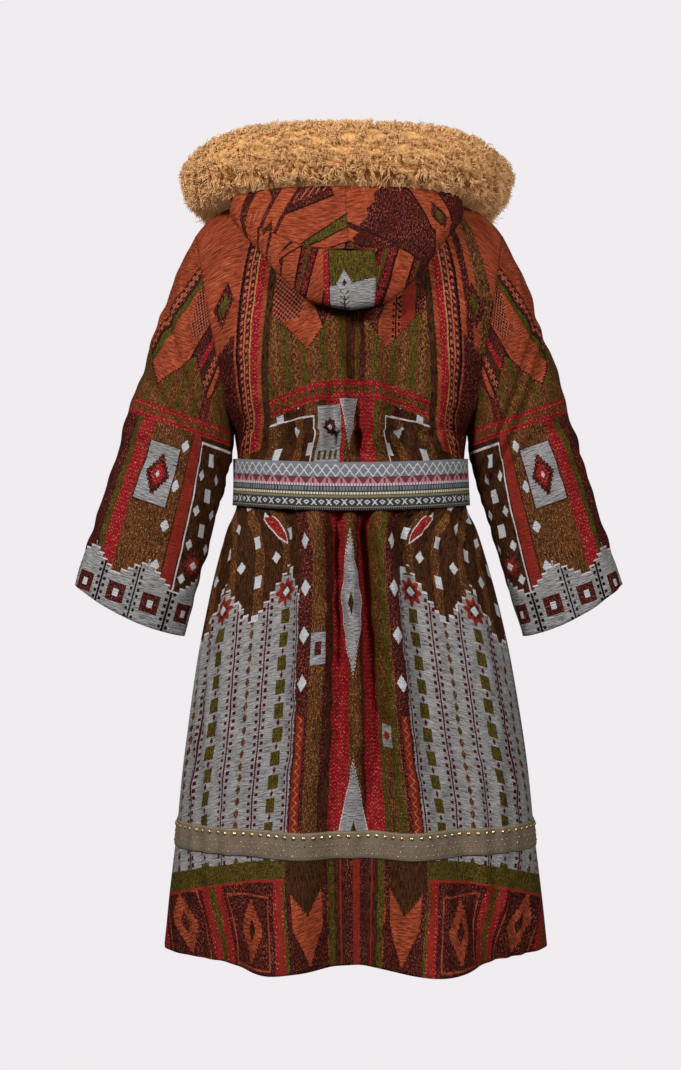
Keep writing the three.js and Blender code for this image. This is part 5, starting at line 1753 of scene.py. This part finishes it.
# %% The pattern of the hood
def hood_right_half(u, v, weave):
    """Two slanting stripes and a leaning orange point with a stepped edge."""
    cut = snapped(u + 0.55 * v + 0.007 * peaks(v, 0.021), 0.0045)
    slant, rise = u - 0.5 * v, v - 0.5 * u
    return layers(
        weave["orange"], (cut > 0.055, weave["wine"]), (between(cut, 0.075, 0.078), INK["pink"]),
        (between(slant, 0.088, 0.128), weave["orange"]), (abs(slant - 0.087) < 0.0014, INK["plum"]),
        (lozenge(slant - 0.108, v - 0.040, 0.013, 0.022), weave["wine"]),
        (lozenge(slant - 0.108, v - 0.040, 0.006, 0.011), weave["olive"]),
        (between(slant, 0.128, 0.150), weave["wine"]), (abs(slant - 0.128) < 0.0014, INK["plum"]),
        (between(rise, 0.050, 0.058), weave["wine"]), (abs(rise - 0.049) < 0.0012, INK["plum"]),
    )


def hood_left_half(u, a, v, weave):
    """A wine triangle with a netted edge, an olive leaf, and slanting stripes."""
    slope, slant = v - 0.42 * a, a - 0.6 * v
    leaf, leaf_wide = v - 0.046 + 0.60 * u, 0.010 * (1 + u / 0.085)
    net = abs(centred(u + 0.6 * v, 0.0075)) < 0.0009
    return layers(
        weave["orange"], (between(a + 0.3 * v, 0.024, 0.106) & (slope < 0.004), weave["wine"]),
        ((abs(slope - 0.004) < 0.0013) & between(a, 0.02, 0.10), INK["plum"]),
        (between(slope, -0.020, -0.008) & net, INK["pink"]),
        (abs(leaf) < leaf_wide + 0.0020, INK["plum"]), (abs(leaf) < leaf_wide, weave["olive"]),
        (between(slant, 0.060, 0.092), weave["wine"]), (between(slant, 0.066, 0.086), weave["orange"]),
        (lozenge(slant - 0.076, v - 0.062, 0.008, 0.015), weave["dark"]),
        (between(slant, 0.120, 0.134), weave["wine"]),
    )


def hood_pattern(u, v, weave):
    """u runs across from the centre seam and v down from the fur. Below the two halves, the part
    that turns in is wine with orange stripes."""
    a = abs(u)
    under = v - 0.078 - 0.34 * a
    stripe = centred(u + 0.30 * v - 0.006, 0.052)
    inner = layers(
        weave["wine"], (abs(stripe) < 0.013, weave["orange"]),
        (abs(abs(stripe) - 0.014) < 0.0012, INK["plum"]),
        (zigzag(abs(stripe) - 0.020, v, 0.010, 0.006, 0.0010), INK["red"]),
        (stripe > 0.021, weave["olive"]),
    )
    below = (under > 0) & (a < 0.10)
    return layers(
        lay(hood_right_half(u, v, weave), hood_left_half(u, a, v, weave), u < 0),
        (below, INK["plum"]), (below & (under > 0.0022), inner),
    )


def gusset_pattern(u, v, weave):
    """Red beside marl with an upright comb, under an olive head."""
    x = u - 0.009
    teeth = between(abs(x), 0.001, 0.0062) & (abs(centred(v + abs(x), 0.0072)) < 0.0012)
    comb = (abs(x) < 0.0009) | teeth
    bar = v - 0.046 + 0.2 * u
    cloth = layers(
        weave["marl"], (comb & (bar > 0.004), weave["olive"]), (bar < 0, weave["olive"]),
        (lozenge(x, bar + 0.002, 0.010, 0.017), weave["marl"]),
        (lozenge(x, bar + 0.002, 0.003, 0.005), weave["wine"]),
    )
    return layers(
        cloth, (u < -0.0095, INK["plum"]), (u < -0.0108, weave["red"]),
        ((abs(u + 0.018) < 0.0009) & (bar < 0), INK["pale"]),
    )

# %% [markdown]
# ## From pattern to cloth
# A cloth is its pattern, its relief and its glints together. Most yarns are matt wool and cotton, so
# the surface is rather dull; only the metallic floats between the crinkles mirror the light. Inside,
# the cloth shows its back, where all the yarns that rest are brown and lie loose.

# %% Dressing the pieces
CLOTH_ROUGH, CLOTH_SHINE, CLOTH_RELIEF, FLOATS = 0.46, 0.09, 0.0036, 0.55


def jacquard(name, pattern):
    """A woven material from a pattern."""
    material, shader, u, v = start_material(name)
    weave, height, glint = yarns(u, v)
    colour = pattern(snapped(u), snapped(v), weave)
    material.node_tree.links.new((FLOATS * glint).socket, shader.inputs["Metallic"])
    finish_material(shader, colour, CLOTH_ROUGH, height, CLOTH_RELIEF)
    shader.inputs["Specular IOR Level"].default_value = CLOTH_SHINE
    return material


def reverse_cloth():
    """The back of the cloth, where the resting yarns float: dull brown with fine streaks."""
    material, shader, u, v = start_material("jacquard_reverse")
    streak = noise(u, v, 700, 60, 3.0)
    colour = layers(INK["chocolate"], (0.2 + 0.6 * steep(streak, 0.35, 0.65), INK["bronze"]))
    finish_material(shader, colour, 0.85, streak, 0.0006)
    return material


def dress(piece, outside, inside=None):
    """Gives a wall its outside material, and the inside another."""
    piece.data.materials.append(outside)
    if inside is not None:
        piece.data.materials.append(inside)
        marks = np.zeros(len(piece.data.polygons), bool)
        piece.data.attributes["inside"].data.foreach_get("value", marks)
        piece.data.polygons.foreach_set("material_index", marks.astype(np.int32))


reverse = reverse_cloth()
for kind, pattern, names in (
    ("body", body_pattern, ("back", "front_right", "front_left")),
    ("sleeve", sleeve_pattern, ("sleeve_right", "sleeve_left")),
    ("hood", hood_pattern, ("hood_right", "hood_left")),
    ("gusset", gusset_pattern, ("hood_gusset",)),
):
    woven = jacquard(f"jacquard_{kind}", pattern)
    for name in names:
        dress(pieces[name], woven, reverse)

# %% [markdown]
# ## Bands of the belt
# A patterned belt is woven on a narrow loom, band beside band, with a small repeat in each: a lattice,
# a row of triangles, dotted lines and a row of crosses and diamonds. Every band is placed by its share
# of the belt's height.

# %% The woven belt
def belt_material():
    """Woven bands, each between two shares of the height, counted down from the upper edge."""
    material, shader, u, v = start_material("belt_weave")
    y, x = snapped(1 - v, 0.016), snapped(u, 0.0010)
    rib = abs((u * 2600).sin())
    ink = {"grey": dye("6A6C72"), "white": dye("C6C2C4"), "pink": dye("B86A74"), "wine": dye("4E1A22"),
           "black": dye("17161A"), "cream": dye("CFC3A2"), "khaki": dye("6F6648"), "taupe": dye("8C8172")}
    lattice = abs(centred(x, 0.0122)) / 0.0061 + abs(y - 0.175) / 0.125
    low_row = between(y, 0.77, 0.89)
    diamonds = abs(centred(x, 0.020)) / 0.0042 + abs(y - 0.83) / 0.052
    crosses = abs(centred(x + 0.010, 0.020)) - abs(y - 0.83) * 0.05
    colour = layers(
        ink["grey"],
        (between(y, 0.05, 0.30) & (abs(lattice - 1) < 0.14), ink["white"]),
        (between(y, 0.30, 0.46), ink["pink"]),
        (between(y, 0.31, 0.45) & (abs(centred(x, 0.019)) / 0.0085 + (y - 0.31) / 0.14 < 1), ink["wine"]),
        (between(y, 0.33, 0.43) & (abs(centred(x + 0.0095, 0.019)) < 0.0011), ink["wine"]),
        (between(y, 0.455, 0.495) & (abs(centred(x, 0.004)) < 0.0013), ink["white"]),
        (y > 0.495, ink["black"]),
        (between(y, 0.52, 0.60) & (abs(centred(x, 0.0042)) < 0.0014), ink["grey"]),
        (between(y, 0.625, 0.665) & (abs(centred(x, 0.0038)) < 0.0014), ink["cream"]),
        (between(y, 0.68, 0.735), ink["khaki"]),
        (low_row & (abs(diamonds - 0.75) < 0.27), ink["white"]),
        (low_row & (abs(crosses) < 0.0011), ink["white"]),
        (y > 0.935, ink["taupe"]), ((y > 0.945) & (abs(centred(x, 0.003)) < 0.0009), ink["black"]),
    )
    grain = noise(u, v, 900, 60, 2.0)
    colour = layers(colour, (0.35 * steep(grain, 0.5, 0.75), ink["black"]))
    finish_material(shader, colour, 0.6, 0.5 * rib + 0.5 * grain, 0.0006)
    return material


dress(pieces["belt"], belt_material())

# %% [markdown]
# ## Suede and brass
# Suede is the napped inside of a hide, dull and slightly cloudy. The studs are cast brass that has
# worn bright in patches. The stitches that hold the tape are drawn in the tape's own material.

# %% The suede tape and its studs
def tape_material():
    """Napped suede with a row of stitches along each edge."""
    material, shader, u, v = start_material("suede_tape")
    nap, cloud = noise(u, v, 900, 900, 2.0), noise(u, v, 60, 60, 2.0)
    width = TAPE_HIGH - TAPE_LOW
    edge = abs(abs(v - width / 2) - (width / 2 - 0.0018)) < 0.0004
    stitch = edge & (abs(centred(u, 0.0032)) < 0.0011)
    colour = layers(
        dye("5C4E41"), (steep(nap, 0.35, 0.65), dye("82725F")),
        (0.35 * steep(cloud, 0.4, 0.7), dye("4B3F35")), (stitch, dye("A08D72")),
    )
    finish_material(shader, colour, 0.9, nap - 0.6 * edge, 0.0006)
    return material


def brass_material():
    """Brass that is worn bright in patches scattered at random."""
    material, shader, _, _ = start_material("stud_brass")
    shader.inputs["Metallic"].default_value = 1.0
    place = own_place(material)
    worn = place.node("ShaderNodeTexNoise", {"Vector": place, "Scale": 260.0, "Detail": 2.0})
    colour = layers(dye("A8823E"), (steep(worn, 0.3, 0.6), dye("F2D288")))
    finish_material(shader, colour, 0.32, worn, 0.0002)
    return material


def own_place(material):
    """The surface's own place, as a wire."""
    coordinates = material.node_tree.nodes.new("ShaderNodeTexCoord")
    return Wire(material.node_tree, coordinates.outputs["Object"])


dress(pieces["hem_tape"], tape_material())
brass = brass_material()
for name in ("studs_large", "studs_row_1", "studs_row_2", "studs_row_3"):
    dress(pieces[name], brass)

# %% [markdown]
# ## Wool that lets light through
# Wool fibres pass light on to each other, so the gaps between locks are never as dark as gaps between
# solid things. A faint glow in the locks' own colour stands for that light, which is far quicker than
# following it through the fibres.

# %% Wool
WOOL_GLOW = 0.07  # light that reaches a lock through its neighbours


def wool_material():
    """Each lock is dark at its root and pale at its tip, and no two have quite the same tint."""
    material, shader, u, v = start_material("wool_locks")
    colour = layers(
        dye("D39A66"), (steep(v, 0.0, 0.35), dye("DCAA70")), (steep(v, 0.35, 1.0), dye("EEC794")),
    )
    colour = lay(colour, dye("CF945C"), 0.5 * (1 - u))
    finish_material(shader, colour, 0.7, v, 0.0001)
    shader.inputs["Specular IOR Level"].default_value = 0.15
    material.node_tree.links.new(colour.socket, shader.inputs["Emission Color"])
    shader.inputs["Emission Strength"].default_value = WOOL_GLOW
    return material


def hide_material():
    """Cloudy skin between the locks."""
    material, shader, _, _ = start_material("wool_hide")
    place = own_place(material)
    cloud = place.node("ShaderNodeTexNoise", {"Vector": place, "Scale": 220.0, "Detail": 3.0})
    colour = layers(dye("C38C50"), (steep(cloud, 0.4, 0.65), dye("E0AE70")))
    finish_material(shader, colour, 0.9, cloud, 0.004)
    return material


dress(hide, hide_material())
wool = wool_material()
for k in range(SPANS):
    dress(pieces[f"fur_curls_{k}"], wool)

# %% [markdown]
# ## The studio
# A pale floor lies in an even pale air of the same tone, so the coat seems to hang in front of a
# sheet of paper. Only the camera sees that air in full; on the coat it is a weak light from all
# sides, so that the soft boxes decide how the folds look.

# %% The stage
PALE = dye("F0ECEF")


def stage_piece(name, corners):
    """A flat pale surface that glows a little, as a lit paper backdrop does."""
    mesh = bpy.data.meshes.new(name)
    mesh.from_pydata(corners, [], [(0, 1, 2, 3)])
    piece = bpy.data.objects.new(name, mesh)
    bpy.context.scene.collection.objects.link(piece)
    paper = bpy.data.materials.new(name)
    paper.use_nodes = True
    shader = paper.node_tree.nodes["Principled BSDF"]
    shader.inputs["Base Color"].default_value = (0, 0, 0, 1)
    shader.inputs["Specular IOR Level"].default_value = 0.0
    shader.inputs["Emission Color"].default_value = PALE
    shader.inputs["Emission Strength"].default_value = 1.0
    mesh.materials.append(paper)
    return piece


floor = stage_piece("floor", [(-9, -9, -2.2), (9, -9, -2.2), (9, 9, -2.2), (-9, 9, -2.2)])
floor.visible_diffuse = floor.visible_glossy = False
world = bpy.data.worlds.new("studio")
bpy.context.scene.world = world
world.use_nodes = True
air = world.node_tree.nodes["Background"]
air.inputs["Color"].default_value = PALE
seen = Wire(world.node_tree, world.node_tree.nodes.new("ShaderNodeLightPath").outputs["Is Camera Ray"])
AMBIENT = 0.075
world.node_tree.links.new((AMBIENT + (1 - AMBIENT) * seen).socket, air.inputs["Strength"])
bpy.context.scene.view_settings.view_transform = "Standard"

# %% [markdown]
# ## Two soft boxes
# The main light comes from high on the left and shows the folds by their shadows; a weaker one on the
# right keeps the shadows readable. Both are small enough to leave some contrast in the crinkles.

# %% Lights
def soft_light(name, place, aim, size, power):
    """A square soft box that faces its aim."""
    data = bpy.data.lights.new(name, "AREA")
    data.size, data.energy = size, power
    lamp = bpy.data.objects.new(name, data)
    direction = np.array(aim) - np.array(place)
    flat = math.hypot(direction[0], direction[1])
    lamp.location = place
    lamp.rotation_euler = (math.atan2(flat, -direction[2]), 0, math.atan2(-direction[0], direction[1]))
    bpy.context.scene.collection.objects.link(lamp)


soft_light("key", (-1.9, -2.2, 1.2), (0, 0, -0.45), 0.6, 98)
soft_light("fill", (1.6, -2.5, 0.6), (0, 0, -0.5), 0.8, 60)
